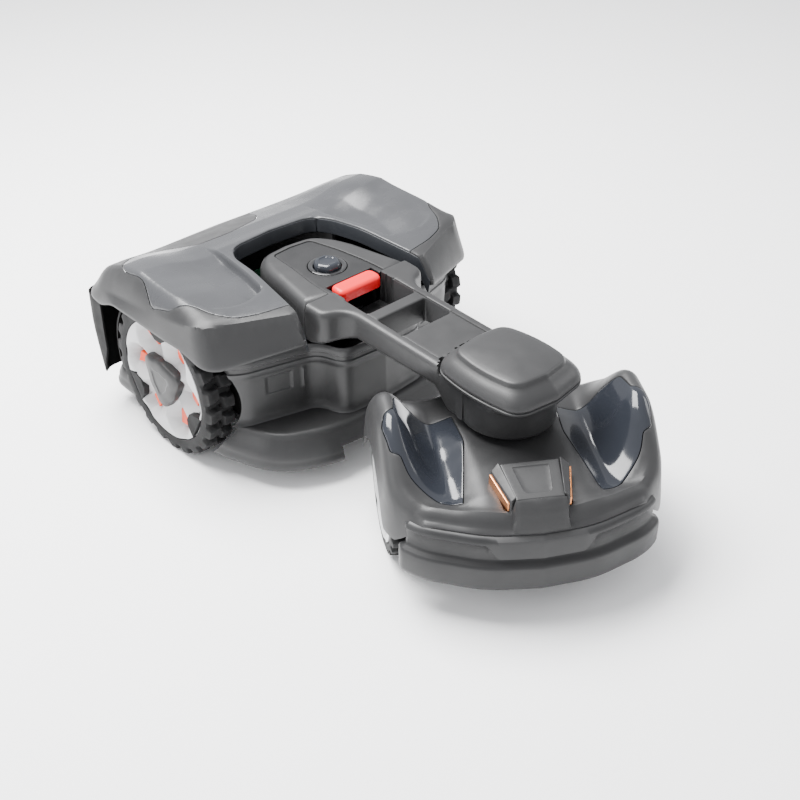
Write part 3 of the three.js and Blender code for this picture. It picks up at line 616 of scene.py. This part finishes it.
def cover_lip(p):
    u, y = np.abs(p[:, 0]), p[:, 1]
    out = ramp(u, 150, 185)
    arch = 72 * np.maximum(0, 1 - ((y + 22) / 92) ** 2) * out
    return 143 - 43 * out - 20 * ramp(y, -110, 0) * ramp(165 - u, 0, 20) + arch


def cover_crown(p):
    u, y = np.abs(p[:, 0]), p[:, 1]
    spine = np.interp(y, [-212, -200, -157, -100, -38, 0, 100], [155, 159, 169, 174, 177, 177, 171])
    trough = np.interp(y, [-212, -175, -143, -60, 0, 60, 100], [1, 7, 16, 17, 14, 9, 6])
    fender = 154 + 79 * smooth(ramp(y, -166, -35)) - 60 * smooth(ramp(y, 5, 92))
    low = spine - trough * smooth(ramp(u, 62, 112))
    up = smooth(ramp(u, 106, 174))
    plinth = 22 * smooth((-y - 172) / 10) * (1 - smooth((u - 34) / 5))
    return low + (np.maximum(fender, low) - low) * up - 7 * ramp(u, 178, 200) ** 2 + plinth


def cover_height(p):
    u, y = np.abs(p[:, 0]), p[:, 1]
    d = away(p, COVER_OUTER)
    nose = smooth((-y - 105) / 50) * (1 - smooth(ramp(u, 165, 190)))
    lean = 4 + 5 * nose
    crown, lip = cover_crown(p), cover_lip(p)
    crease = np.maximum(crown - (26 - 17 * nose), lip + 4)
    wall = lip + (crease - lip) * np.clip(d / lean, 0, 1) ** 0.75
    s = np.clip((d - lean) / (24 - 10 * nose), 0, 1)
    ridge = 2.6 * nose * np.exp(-((d - 20) / 5.5) ** 2)
    return np.where(d < lean, wall, crease + (crown - crease) * np.sqrt(1 - (1 - s) ** 2)) + ridge


WINDOW_PLAN = rounded([(95, -156, 3), (121, -147, 8), (160, -112, 10), (168, -92, 3),
                       (181, -86, 4), (188, -52, 6), (181, -34, 4), (168, -26, 3), (163, 6, 6),
                       (140, 20, 6), (76, 22, 4), (71, -40, 8)], 5)
column_hole = resample(circle(27, 47), 4)
block_seat = resample(rounded([(-34, -191), (34, -191), (46, -184, 3), (52, -130, 4), (46, -118, 4),
                               (-46, -118, 4), (-52, -130, 4), (-46, -184, 3)], 4), 3.5)
windows = [resample(WINDOW_PLAN * [sign, 1], 3.0)[::sign] for side, sign in SIDES]
seams = [offset(w, -SEAM, True) for w in windows]


def shut(plan, radius, ground):
    """The ground height, dipping at a seam beside the plan's edge."""
    return lambda p: ground(p) - edge_drop(np.min([away(p, q) for q in plan], axis=0), radius)


cover_top = shut(seams + [block_seat], 0.8, cover_height)
points, faces = slab(COVER_OUTER, cover_top, lambda p: cover_top(p) - 2.8, 5.0,
                     holes=[column_hole, block_seat] + seams,
                     rings=(0.3, 0.9, 2, 3.4, 5, 7, 9.5, 12.5, 16, 20, 24, 28),
                     hole_rings=(0.3, 0.9))
build("nose_cover", points, faces, front, "front_body", FINISH["shell"], "shell", ["front_cover"])
for (side, sign), window in zip(SIDES, windows):
    inner = offset(window, SEAM, True)
    top = shut([inner], 0.8, cover_height)
    points, faces = slab(inner, top, lambda p, top=top: top(p) - SKIN, 4.0, rings=(0.3, 0.9, 2.0))
    build(f"nose_window_{side}", points, faces, front, "front_body", FINISH["gloss"], "gloss",
          [f"front_window_{side}"])

BLOCK = resample(rounded([(-33, -190, 3), (33, -190, 3), (41, -124, 3), (-41, -124, 3)], 4), 2.5)
BLOCK_MARK = resample(rounded([(-19, -180, 8), (19, -180, 8), (26, -132, 3), (-26, -132, 3)], 5),
                      2.5)
BLOCK_ENDS = (-190, -124)  # the block rises from its front end to its back end
DISH = 1.2


def block_top(p):
    dish = DISH * inside(p, BLOCK_MARK) * smooth(away(p, BLOCK_MARK) / DISH)
    return 184 + 11 * ramp(p[:, 1], *BLOCK_ENDS) - edge_drop(away(p, BLOCK), 2.5) - dish


points, faces = slab(BLOCK, block_top, level(148), 4.0, rings=(0.4, 1.0, 1.8, 2.5),
                     lines=[offset(BLOCK_MARK, d, True) for d in (-1.4, -0.7, 0, 0.7)])
build("charging_block", points, faces, front, "front_body", FINISH["shell"], "shell",
      ["charge_block"])
for k, sign in enumerate((-1, 1)):
    ear = np.array([(sign * x, y) for x, y in ((32, -187), (40, -190), (54, -130), (42, -122))])
    ear = resample(rounded([tuple(q) + (2.5,) for q in ear], 4), 2.5)

    def ear_top(p, ear=ear, sign=sign):
        u = sign * p[:, 0] - np.interp(p[:, 1], BLOCK_ENDS, [33, 41])
        rise = 11.5 * ramp(p[:, 1], *BLOCK_ENDS)
        return 186 + rise - 0.55 * np.maximum(u, 0) - edge_drop(away(p, ear), 1.6)

    points, faces = slab(ear, ear_top, level(150), 4.0, rings=(0.4, 1.0, 1.8))
    build(f"charging_ear_{k + 1}", points, faces, front, "front_body", FINISH["dark"], "dark")
for side, sign in SIDES:
    strip = resample(np.array([(40.6, -186), (43, -186), (56, -132), (53.4, -132)]) * [sign, 1], 3)

    def strip_top(p, strip=strip):
        return 177 + 9.5 * ramp(p[:, 1], *BLOCK_ENDS) - 0.3 * edge_drop(away(p, strip), 0.8)

    points, faces = slab(strip, strip_top, level(156), 3.0, rings=(0.3, 0.8))
    build(f"charging_contact_{side}", points, faces, front, "front_body", FINISH["copper"],
          "copper", [f"charge_contact_{side}"])

BOW = rounded([(0, -229, 0), (76, -222, 30), (158, -186, 24), (182, -160, 8), (180, -148, 0)], 8,
              closed=False)
bow = resample(across(BOW), 3.0, closed=False)


def bumper_section(x):
    """Steps inwards from the bow line, with their heights."""
    plate = smooth(ramp(abs(x), 76, 58))  # the middle plate stands proud of the hollow band
    side = smooth(ramp(abs(x), 150, 172))
    foot = 131 - 21 * smooth(ramp(abs(x), 80, 57))
    return [(17, 141 - 2 * side), (13.5, 140.6 - 2 * side), (10.5 - 3 * plate, 138 - 2 * side),
            (8.6 - 2.4 * plate, 133.5), (8.2 - 2.2 * plate, foot), (10, foot - 2.5),
            (10.5, 108 - 2 * plate), (10.1, 105), (7.5, 102.4), (3.0, 99.8), (1.0, 97.8),
            (0.1, 94.5), (0, 86), (0.2, 67), (1.0, 62.5), (3.4, 59), (7.5, 57.2), (12, 57.4),
            (13.5, 60), (15, 100), (20, 136)]


rows = [[(*(q + n * e), z) for e, z in bumper_section(q[0])] for q, n in zip(bow, towards(bow, 1))]
points, faces = tube(rows)
build("nose_bumper", points, faces, front, "front_body", FINISH["dark"], "dark", ["front_bumper"],
      sharp=42)

# ---- Pod ---------------------------------------------------------------------------------------
POD_SIDE = [(0, -92, 0), (70, -82, 26), (82, 0, 50), (66, 80, 26), (0, 86, 0)]
POD = resample(mirrored(rounded(POD_SIDE, 12, closed=False)), 3.0)
POD_MID = PIVOT_Y + 2
LID_LEVELS = [(0.90, 247.2), (0.955, 247.2), (0.985, 247.8), (0.997, 249.4), (0.997, 251.6),
              (0.985, 252.4), (0.972, 252.8), (0.972, 254.2), (0.985, 254.8), (0.992, 256.0),
              (0.985, 259.0), (0.965, 263.2), (0.93, 267.4), (0.885, 271.4), (0.83, 275.0),
              (0.775, 277.8), (0.758, 279.6), (0.745, 283.4), (0.73, 284.8), (0.70, 285.6),
              (0.6, 287.0), (0.45, 288.4), (0.3, 289.4), (0.15, 289.8), (0.03, 289.9)]
points, faces = tube([[(x * s, POD_MID + y * s, z) for x, y in POD] for s, z in LID_LEVELS])
build("pod_lid", points, faces, rear, "rear_body", FINISH["shell"], "shell", ["pod_cap"], sharp=38)

DRUM = 70  # radius
drum_angles = turn(96, -math.pi / 2)
ring = np.stack([np.cos(drum_angles), np.sin(drum_angles)], 1)
around = np.arctan2(POD[:, 1], POD[:, 0])
lid_reach = np.interp(drum_angles, np.sort(around), np.linalg.norm(POD, axis=1)[np.argsort(around)],
                      period=2 * math.pi)
ahead = smooth(ramp(-np.sin(drum_angles), -0.25, 0.35))
rows = []
for z, share, r in ((187.2, 0, 40), (187.2, 0, 62), (187.8, 0, 65.5), (189.6, 0, 67.5),
                    (193, 0, 68.6), (205, 0, 69.2), (218, 0, 69.6), (226, 0.03, DRUM),
                    (231, 0.16, DRUM), (235, 0.42, DRUM), (238.5, 0.74, DRUM), (241.5, 0.95, DRUM),
                    (244, 1, DRUM), (246, 1, DRUM), (246.4, 0.9, DRUM), (246.4, 0.2, 60)):
    radius = r + (np.minimum(lid_reach, 84) - 5 - DRUM) * share * ahead * (r / DRUM)
    row = np.column_stack([ring * radius[:, None], np.full(len(ring), z)])
    rows.append(row + [0, PIVOT_Y, 0])
points, faces = tube(rows)
build("pod_drum", points, faces, rear, "rear_body", FINISH["shell"], "shell", ["pod_base"],
      sharp=38)

# ---- Boom, console and controls ----------------------------------------------------------------
SEAT = 70.4  # radius of the boom's end, round the drum
seat = [(SEAT * math.cos(a), PIVOT_Y + SEAT * math.sin(a))
        for a in np.linspace(0.365, math.pi - 0.365, 40)]
boom_half = rounded([(66, -440), (66, -214, 22), (104, -196, 14), (105, -159)], 8, closed=False)
BOOM = resample(np.vstack([seat, boom_half * [-1, 1], boom_half[::-1]]), 3.5)
boom_sides = [resample(boom_half * [s, 1], 3.5, closed=False) for s in (1, -1)]
GRIPS = [resample(rounded([(-48, y0, 5), (48, y0, 5), (48, y1, 5), (-48, y1, 5)], 4), 3.5)
         for y0, y1 in ((-236, -186), (-313, -258))]


LID_SHADOW = shrunk(POD, -1.5) + [0, POD_MID]
UNDER_LID = 245  # height of the boom's top beneath the lid
WELL_FRONT, WELL_FLOOR = -189, 216  # the well behind the stop bar
RAIL_FRONT = -186  # the rails and the sunk strip between them end here


def from_sides(p):
    return np.min([away(p, line, closed=False) for line in boom_sides], axis=0)


def boom_top(p):
    x, y = p[:, 0], p[:, 1]
    d = from_sides(p)
    z = 266 - 8 * ramp(-y, 170, 400) - edge_drop(d, 9) - 0.9 * edge_drop(d, 4)
    rail = np.abs(np.abs(x) - 49.5)
    z -= (1.3 * (np.abs(x) < 49.5) + 1.2 * np.exp(-(rail / 0.7) ** 2)) * (y < RAIL_FRONT)
    grip = np.min([away(p, g) for g in GRIPS], axis=0)
    z -= edge_drop(grip, 3.0)
    z = np.where((np.abs(x) < 47) & (y > WELL_FRONT), WELL_FLOOR, z)
    return np.where(inside(p, LID_SHADOW), np.minimum(z, UNDER_LID), z)


def boom_bottom(p):
    y = p[:, 1]
    z = 204 + 18 * ramp(-y, 170, 230) - 30 * smooth((-392 - y) / 36) * (np.abs(p[:, 0]) > 30)
    return z + edge_drop(from_sides(p), 7)


well = [resample(np.array([(-x, -158.9), (-x, y), (x, y), (x, -158.9)]), 3, closed=False)
        for x, y in ((47.2, -189.2), (46.8, -188.8))]
step = [LID_SHADOW, shrunk(LID_SHADOW, 0.5)]
rails = [np.array([(s * x, y) for y in np.arange(-384, -190, 4.0)]) for s in (1, -1)
         for x in (47.6, 48.6, 49.3, 49.8, 50.5, 51.5)]
points, faces = slab(BOOM, boom_top, boom_bottom, 5.0, holes=GRIPS,
                     rings=(0.5, 1.3, 2.6, 4.4, 6.6, 9.2, 13), hole_rings=(0.5, 1.3, 2.2, 3.2),
                     lines=well + step + rails)
build("boom_arm", points, faces, rear, "rear_body", FINISH["shell"], "shell", ["boom"])

CONSOLE = rounded([(105, -158), (78, -20, 24), (52, 20, 20), (0, 26)], 10, closed=False)
console_rim = resample(out_and_back(CONSOLE), 3.5, closed=False)
PLATE_SIDE = rounded([(55, -158), (54, -120, 20), (37, 0, 8), (0, 4)], 6, closed=False)
plate_rim = resample(out_and_back(PLATE_SIDE), 3.0, closed=False)
frame_in = offset(plate_rim, -1.1)
frame_in = frame_in if frame_in[:, 0].max() > plate_rim[:, 0].max() else offset(plate_rim, 1.1)


def console_crown(p):
    return 266 - 6 * ramp(p[:, 1], -60, 26)


def console_top(p):
    t = np.clip(away(p, console_rim, closed=False) / 17, 0, 1)
    z = console_crown(p) - 22 * (1 - np.sqrt(1 - (1 - t) ** 2))
    return z - edge_drop(away(p, frame_in, closed=False), 1.2)


def console_under(p):
    at_wall = away(p, console_rim, closed=False) < SKIN
    return np.where(at_wall, 206, np.minimum(console_top(p) - 3, 256))


points, faces = slab(np.vstack([console_rim, frame_in[::-1]]), console_top, console_under, 4.5,
                     rings=(0.5, 1.2, 2.4, 2.9, 4.2, 6, 8.5, 11.5, 15, 18))
build("console_frame", points, faces, rear, "rear_body", FINISH["shell"], "shell", ["console"])

DIAL_Y = -88
dial_hole = circle(31.8, 72, DIAL_Y)
notch = [(-46, -158), (-46, -139), (46, -139), (46, -158)]
plate_loop = resample(np.vstack([plate_rim, notch]), 3.0)


def plate_top(p):
    edges = edge_drop(away(p, plate_loop), 0.8) + edge_drop(away(p, dial_hole), 0.8)
    return console_crown(p) - 1.4 - edges


points, faces = slab(plate_loop, plate_top, lambda p: plate_top(p) - 4, 4.5, holes=[dial_hole],
                     rings=(0.4, 1.0), hole_rings=(0.4, 1.0))
build("key_plate", points, faces, rear, "rear_body", PLATE, "dark", ["control_plate"])


def turned(profile, count=72, wave=lambda a, r: r):
    """A profile (r, z) turned about z; `wave` may lobe each radius."""
    return [[(wave(a, r) * math.cos(a), wave(a, r) * math.sin(a), z) for a in turn(count)]
            for r, z in profile]


points, faces = torus(turned([(22.6, 256), (22.6, 264.2), (23.2, 265.0), (25, 265.6), (29, 265.7),
                              (30.2, 265.3), (30.9, 264.2), (31, 262), (31, 256)]))
build("dial_ring", points + [0, DIAL_Y, 0], faces, rear, "dial", RING, "gloss", ["start_dial"])
knob = [(21.4, 258), (21.6, 265.5), (21.2, 268.5), (20, 271.4), (18, 273.4), (15.4, 274.4),
        (13.4, 274.2), (12.4, 273.3), (10, 272.8), (5, 272.8), (0.4, 272.8)]
points, faces = tube(turned(knob, wave=lambda a, r: r * (1 + 0.035 * math.cos(6 * a))))
build("dial_knob", points + [0, DIAL_Y, 0], faces, rear, "dial_button", FINISH["gloss"], "gloss",
      ["start_button"])

STOP = resample(rounded([(-42, -171, 12), (42, -171, 12), (41, -141, 12), (-41, -141, 12)], 8), 2.5)


def stop_top(p):
    return 267.5 - edge_drop(away(p, STOP), 6.5) - 1.2 * ramp(-p[:, 1], 156, 171)


points, faces = slab(STOP, stop_top, level(248), 3.5,
                     rings=(0.15, 0.5, 1.1, 2, 3.2, 4.8, 6.6))
build("stop_bar", points, faces, rear, "stop_key", FINISH["red"], "red", ["stop_button"])

# ---- Wheels ------------------------------------------------------------------------------------


def on_axle(points, side, y, z):
    """Turned shapes, outwards along z, stood on an axle of the rear body or the front module."""
    p = np.asarray(points, float)
    return np.column_stack([side * p[:, 2], y - p[:, 0], z + p[:, 1]])


def tyre_points(w, lugs, columns):
    """Sidewall and tread; the blocks of the tread's two halves are staggered."""
    r, a, b, rim, deep = w["r"], w["inner"], w["outer"], w["rim"], w["deep"]
    mid, half = (a + b) / 2, (b - a) / 2
    tread = np.linspace(-1, 1, 13) * (half - 2.5)
    section = [(rim + 1.4, a + 2, 0), (rim + 2, a + 0.5, 0), (r - deep - 4, a + 0.2, 0),
               (r - deep, a + 1, 0.3)]
    section += [(r - deep * 0.1 * (abs(t) > half - 6), mid + t, 1) for t in tread]
    section += [(r - deep, b - 1, 0.3), (r - deep - 3, b - 0.1, 0), (r - deep - 8, b, 0),
                (rim + 5, b - 0.2, 0), (rim + 2, b - 0.8, 0), (rim + 1.4, b - 2, 0)]
    n = lugs * columns
    points = []
    for radius, x, relief in section:
        t = (x - mid) / half
        for k in range(n):
            phase = (k / columns + (0.5 if t > 0 else 0) + 0.16 * abs(t)) % 1
            block = smooth(min(phase, 0.62 - phase) * 9 + 0.5) if phase < 0.62 else 0
            gap = smooth(abs(t) * 14 - 0.3)
            fall = deep * relief * (1 - block * gap)
            angle = 2 * math.pi * k / n
            points.append(((radius - fall) * math.cos(angle), (radius - fall) * math.sin(angle), x))
    return points, quads(len(section), n, wrap=True)


REAR = {"r": 125.6, "inner": 216.5, "outer": 265.6, "rim": 99, "deep": 8.5}
FRONT = {"r": 100.6, "inner": 145.5, "outer": 185.6, "rim": 81, "deep": 6}
REAR_HUB, FRONT_HUB = (0, 126), (-26, 101)  # y and height
SPOKE_TURN = math.radians(25)  # where the first spoke stands


def disc(height, r0, r1, rings, count, back):
    """A dished wheel face: heights over a polar grid, with a flat back."""
    rows = [[(r * math.cos(a), r * math.sin(a), back) for a in turn(count)] for r in (r0, r1)]
    rows += [[(r * math.cos(a), r * math.sin(a), height(r, a)) for a in turn(count)]
             for r in np.linspace(r0, r1, rings)[::-1]]
    return torus(rows)


def fold(a, count, start=0.0):
    """-1 to 1 across each of `count` equal sectors; 0 in their middles."""
    return ((a - start) * count / (2 * math.pi) + 0.5) % 1 * 2 - 1


def rear_face(r, a):
    """Six faceted spokes, creased along their middles, with deep folds between them."""
    t = abs(fold(a, 6, SPOKE_TURN))  # 0 on a spoke's crease, 1 in the fold's middle
    s = (r - 34) / (REAR["rim"] - 34)
    crest = 258 + 7 * ramp(s, 0, 0.75)
    fan = ramp(t, 0.75 * ramp(s, 0.55, 1.05), 0.92)  # the fold narrows into a point at the rim
    crest -= (4 + 20 * ramp(s, 0, 0.42)) * fan * (1 - 0.92 * ramp(s, 0.78, 0.96))
    three = abs(fold(a, 3, math.radians(90)))  # the tyre's wedges bite into the rim at three places
    wedge = smooth((0.23 - three) * 30) * smooth((r - 80) / 3)
    return crest - 6 * wedge


def front_face(r, a):
    """Six creased spokes on a dished face."""
    t = abs(fold(a, 6, SPOKE_TURN))
    s = ramp(r, 24, 78)
    fan = ramp(t, 0.7 * ramp(s, 0.55, 1.0), 0.92)
    return 179 + 7 * s - 14 * fan * ramp(s, 0.05, 0.4) * (1 - 0.9 * ramp(s, 0.8, 0.95))


def hub_wave(a, r):
    """Three lobes."""
    lobe = 0.5 + 0.5 * math.cos(3 * (a - SPOKE_TURN))
    return r * (0.73 + 0.27 * lobe ** 3) if r > 8 else r


WEDGE = [(72, -0.10), (80, -0.21), (99.5, -0.27), (99.5, 0.27), (80, 0.21), (72, 0.10)]
GEM = [(54, -0.13), (54, 0.13), (82, 0.15), (76, -0.13)]
CAP = [(50, 254), (50, 263), (48.5, 266.5), (45, 268.6), (38, 270), (30, 270.8), (24, 271),
       (22, 270.2), (20, 270), (10, 270.2), (0.5, 270.2)]


def polar(corners, start):
    """Corners (radius, angle) become (x, y), in the other order."""
    return [(r * math.cos(start + a), r * math.sin(start + a)) for r, a in corners][::-1]


for side, sign in SIDES:
    def stand(points, sign=sign):
        return rear(on_axle(points, sign, *REAR_HUB))

    def stand_front(points, sign=sign):
        return front(on_axle(points, sign, *FRONT_HUB))

    body = f"rear_wheel_{side}"
    build(f"tyre_{side}", *tyre_points(REAR, 22, 11), stand, body, FINISH["tyre"], "tyre",
          [f"rear_tyre_{side}"], sharp=35)
    build(f"rim_{side}", *disc(rear_face, 20, 99, 40, 144, 230), stand, body, FINISH["white"],
          "white", [f"rear_rim_{side}"], sharp=9)
    for k in range(3):
        plan = resample(np.array(polar(WEDGE, math.radians(90 + 120 * k))), 3.0)
        points, faces = slab(plan, lambda p, plan=plan: 265.8 - edge_drop(away(p, plan), 0.8),
                             level(256), 5.0, rings=(0.4, 1.0))
        build(f"tyre_wedge_{side}_{k + 1}", points, faces, stand, body, FINISH["tyre"], "tyre")
    for k in range(6):
        corners = [(x, y, 2.5) for x, y in polar(GEM, math.radians(55 + 60 * k))]
        plan = resample(rounded(corners, 4), 2.0)

        def gem_top(p, plan=plan):
            slope = 0.26 * (np.linalg.norm(p, axis=1) - 56)
            return 248 + slope - edge_drop(away(p, plan), 1.2)

        points, faces = slab(plan, gem_top, level(236), 4.0, rings=(0.4, 1.0, 2.0))
        build(f"accent_{side}_{k + 1}", points, faces, stand, body, FINISH["orange"], "orange",
              [f"rear_rim_accent_{side}"] if k == 0 else ())
    build(f"hub_{side}", *tube(turned(CAP, 90, hub_wave)), stand, body, FINISH["dark"], "dark",
          [f"rear_hub_cap_{side}"], sharp=30)
    body = f"front_wheel_{side}"
    build(f"nose_tyre_{side}", *tyre_points(FRONT, 24, 9), stand_front, body, FINISH["tyre"],
          "tyre", [f"front_tyre_{side}"], sharp=35)
    build(f"nose_rim_{side}", *disc(front_face, 10, 81, 22, 120, 160), stand_front, body,
          FINISH["white"], "white", [f"front_rim_{side}"], sharp=24)

# ---- Rear chassis ------------------------------------------------------------------------------
TUB_SIDE = [(0, -226, 0), (80, -220, 20), (97, -172, 18), (222, -138, 26), (246, -100, 14),
            (262, 136, 10), (256, 176, 22), (120, 188, 40), (0, 190, 0)]
SKIRT_SIDE = [(0, -252, 0), (120, -246, 40), (206, -206, 44), (240, -110, 24), (245, 120, 20),
              (244, 176, 24), (0, 196, 0)]


def loop_of(half, gap=2.6):
    return resample(mirrored(rounded(half, 10, closed=False)), gap)


def wall_rows(loop, levels, relief=None):
    """The loop drawn in by d at each height z, with a relief that stands out of it."""
    rows = []
    for d, z in levels:
        line = shrunk(loop, d)
        if relief:
            line = line + (line - shrunk(line, 1)) * relief(line, z)[:, None]
        rows.append(np.column_stack([line, np.full(len(line), z)]))
    return rows


def tub_relief(line, z):
    """A shallow rectangular mark and an upright rib on each shoulder's front wall."""
    u, y = np.abs(line[:, 0]), line[:, 1]
    ahead = (y < -130) & (u > 100)
    mark = smooth((u - 134) / 2) * smooth((176 - u) / 2)
    mark *= smooth((z - 132) / 2) * smooth((164 - z) / 2)
    rib = np.exp(-((u - 116) / 2.2) ** 2) * smooth((z - 126) / 6) * smooth((168 - z) / 6)
    return ahead * (1.8 * rib - 1.3 * mark)


def solid(points, faces):
    """An unfinished object of the rear body, to cut or to cut with."""
    obj = bpy.data.objects.new("solid", mesh_of("solid", points, faces, rear))
    bpy.context.scene.collection.objects.link(obj)
    return obj


def combine(obj, tool, operation):
    """Cuts (or keeps) the part of a solid inside a tool, which is then thrown away."""
    change = obj.modifiers.new("combine", "BOOLEAN")
    change.operation, change.object, change.solver = operation, tool, "EXACT"
    bake(obj)
    bpy.data.objects.remove(tool)
    return obj


def wheel_drum(sign, r, inner):
    """A cylinder round a rear wheel, from its inner face outwards."""
    points, faces = tube(turned([(r, inner), (r, 300)], 120))
    return solid(on_axle(points, sign, *REAR_HUB), faces)


def disc_drum(r, low, high, count):
    """A cylinder round the cutting disc's axis."""
    points, faces = tube(turned([(r, low), (r, high)], count))
    return solid(points + [0, DISC_Y, 0], faces)


def kept(name, obj, finish, stands_for=()):
    """A finished cut solid becomes a piece of the rear body."""
    finished(name, obj.data, "rear_body", finish, stands_for, sharp=32)
    bpy.data.objects.remove(obj)


def block_of(x0, x1, y0, y1, z0, z1):
    points = [(x, y, z) for z in (z0, z1) for x, y in ((x0, y0), (x1, y0), (x1, y1), (x0, y1))]
    faces = [(3, 2, 1, 0), (4, 5, 6, 7), (0, 1, 5, 4), (1, 2, 6, 5), (2, 3, 7, 6), (3, 0, 4, 7)]
    return solid(np.array(points, float), faces)


DISC_Y = -85
ARCH, ARCH_INNER = 134, 208  # radius and inner face of the space round a rear wheel
tub = loop_of(TUB_SIDE)
outside = [(9, 86), (-3.5, 88.6), (-1, 90.5), (1.2, 94), (2.6, 99), (3.2, 106), (3.2, 124)]
outside += [(3.2, z) for z in range(130, 168, 2)]
outside += [(2.8, 171), (1.6, 173), (1.6, 179), (3.4, 181), (3.4, 187), (1.2, 189), (0.8, 195),
            (1.6, 199), (3.6, 202)]
within = [(5.5, 202), (6.4, 198), (6.8, 130), (7, 96), (9, 95)]
walls = solid(*tube(wall_rows(tub, outside, tub_relief) + wall_rows(tub, within)))
for side, sign in SIDES:
    combine(walls, wheel_drum(sign, ARCH, ARCH_INNER), "DIFFERENCE")
combine(walls, disc_drum(49, 60, 110, 72), "DIFFERENCE")
for side, sign in SIDES:
    low, high = sorted((sign * 226, sign * 300))
    combine(walls, block_of(low, high, 60, 200, 60, 206), "DIFFERENCE")
kept("tub", walls, FINISH["shell"], ["rear_chassis"])
for side, sign in SIDES:
    liner = solid(*tube(wall_rows(tub, [(3.4, 97), (3.4, 200)])))
    combine(liner, wheel_drum(sign, ARCH + 3, ARCH_INNER - 3), "INTERSECT")
    combine(liner, wheel_drum(sign, ARCH - 0.4, ARCH_INNER), "DIFFERENCE")
    kept(f"wheel_well_{side}", liner, FINISH["black"])

skirt = loop_of(SKIRT_SIDE)
under = [(22, 83.6), (20, 81.5), (14.5, 76), (8, 68), (0, 56), (-4, 40), (-4.4, 34)]
over = [(-7.4, 34), (-8, 35.5), (-7.8, 41), (-5.6, 45), (-5.2, 50), (-4.6, 53), (-0.5, 62),
        (5.5, 71), (10.2, 77), (12.2, 80.5), (13.2, 83.6), (15, 85.8), (18, 87), (22, 87.6)]
deck = solid(*tube(wall_rows(skirt, under + over)))
combine(deck, block_of(-112, 112, -300, -200, 20, 58), "DIFFERENCE")
for side, sign in SIDES:
    combine(deck, wheel_drum(sign, ARCH, ARCH_INNER), "DIFFERENCE")
combine(deck, disc_drum(82, 20, 120, 96), "DIFFERENCE")
kept("cutting_deck", deck, FINISH["shell"])

TAIL = rounded([(268, 158), (268, 206, 26), (0, 206)], 10, closed=False)
tail_line = resample(out_and_back(TAIL), 4.0, closed=False)
rows = []
for q, n in zip(tail_line, towards(tail_line, -1)):
    low = 60 + 52 * ramp(q[1], 190, 158) ** 1.4
    levels = [low + (204 - low) * t for t in (0, 0.02, 0.08, 0.2, 0.35, 0.5, 0.65, 0.8, 1)]

    def skin(z, d, q=q, n=n):
        lean = 20 * ramp(z, 150, 60) ** 1.3 * ramp(q[1], 150, 200)
        return (q[0] + n[0] * d, q[1] + n[1] * d - lean, z)

    rows.append([skin(z, 0.8 if k == 0 else 0) for k, z in enumerate(levels)]
                + [skin(z, 2.4 if k == 8 else 3.4) for k, z in list(enumerate(levels))[::-1]])
points, faces = tube(rows)
build("tail_skirt", points, faces, rear, "rear_body", FINISH["black"], "black", sharp=40)
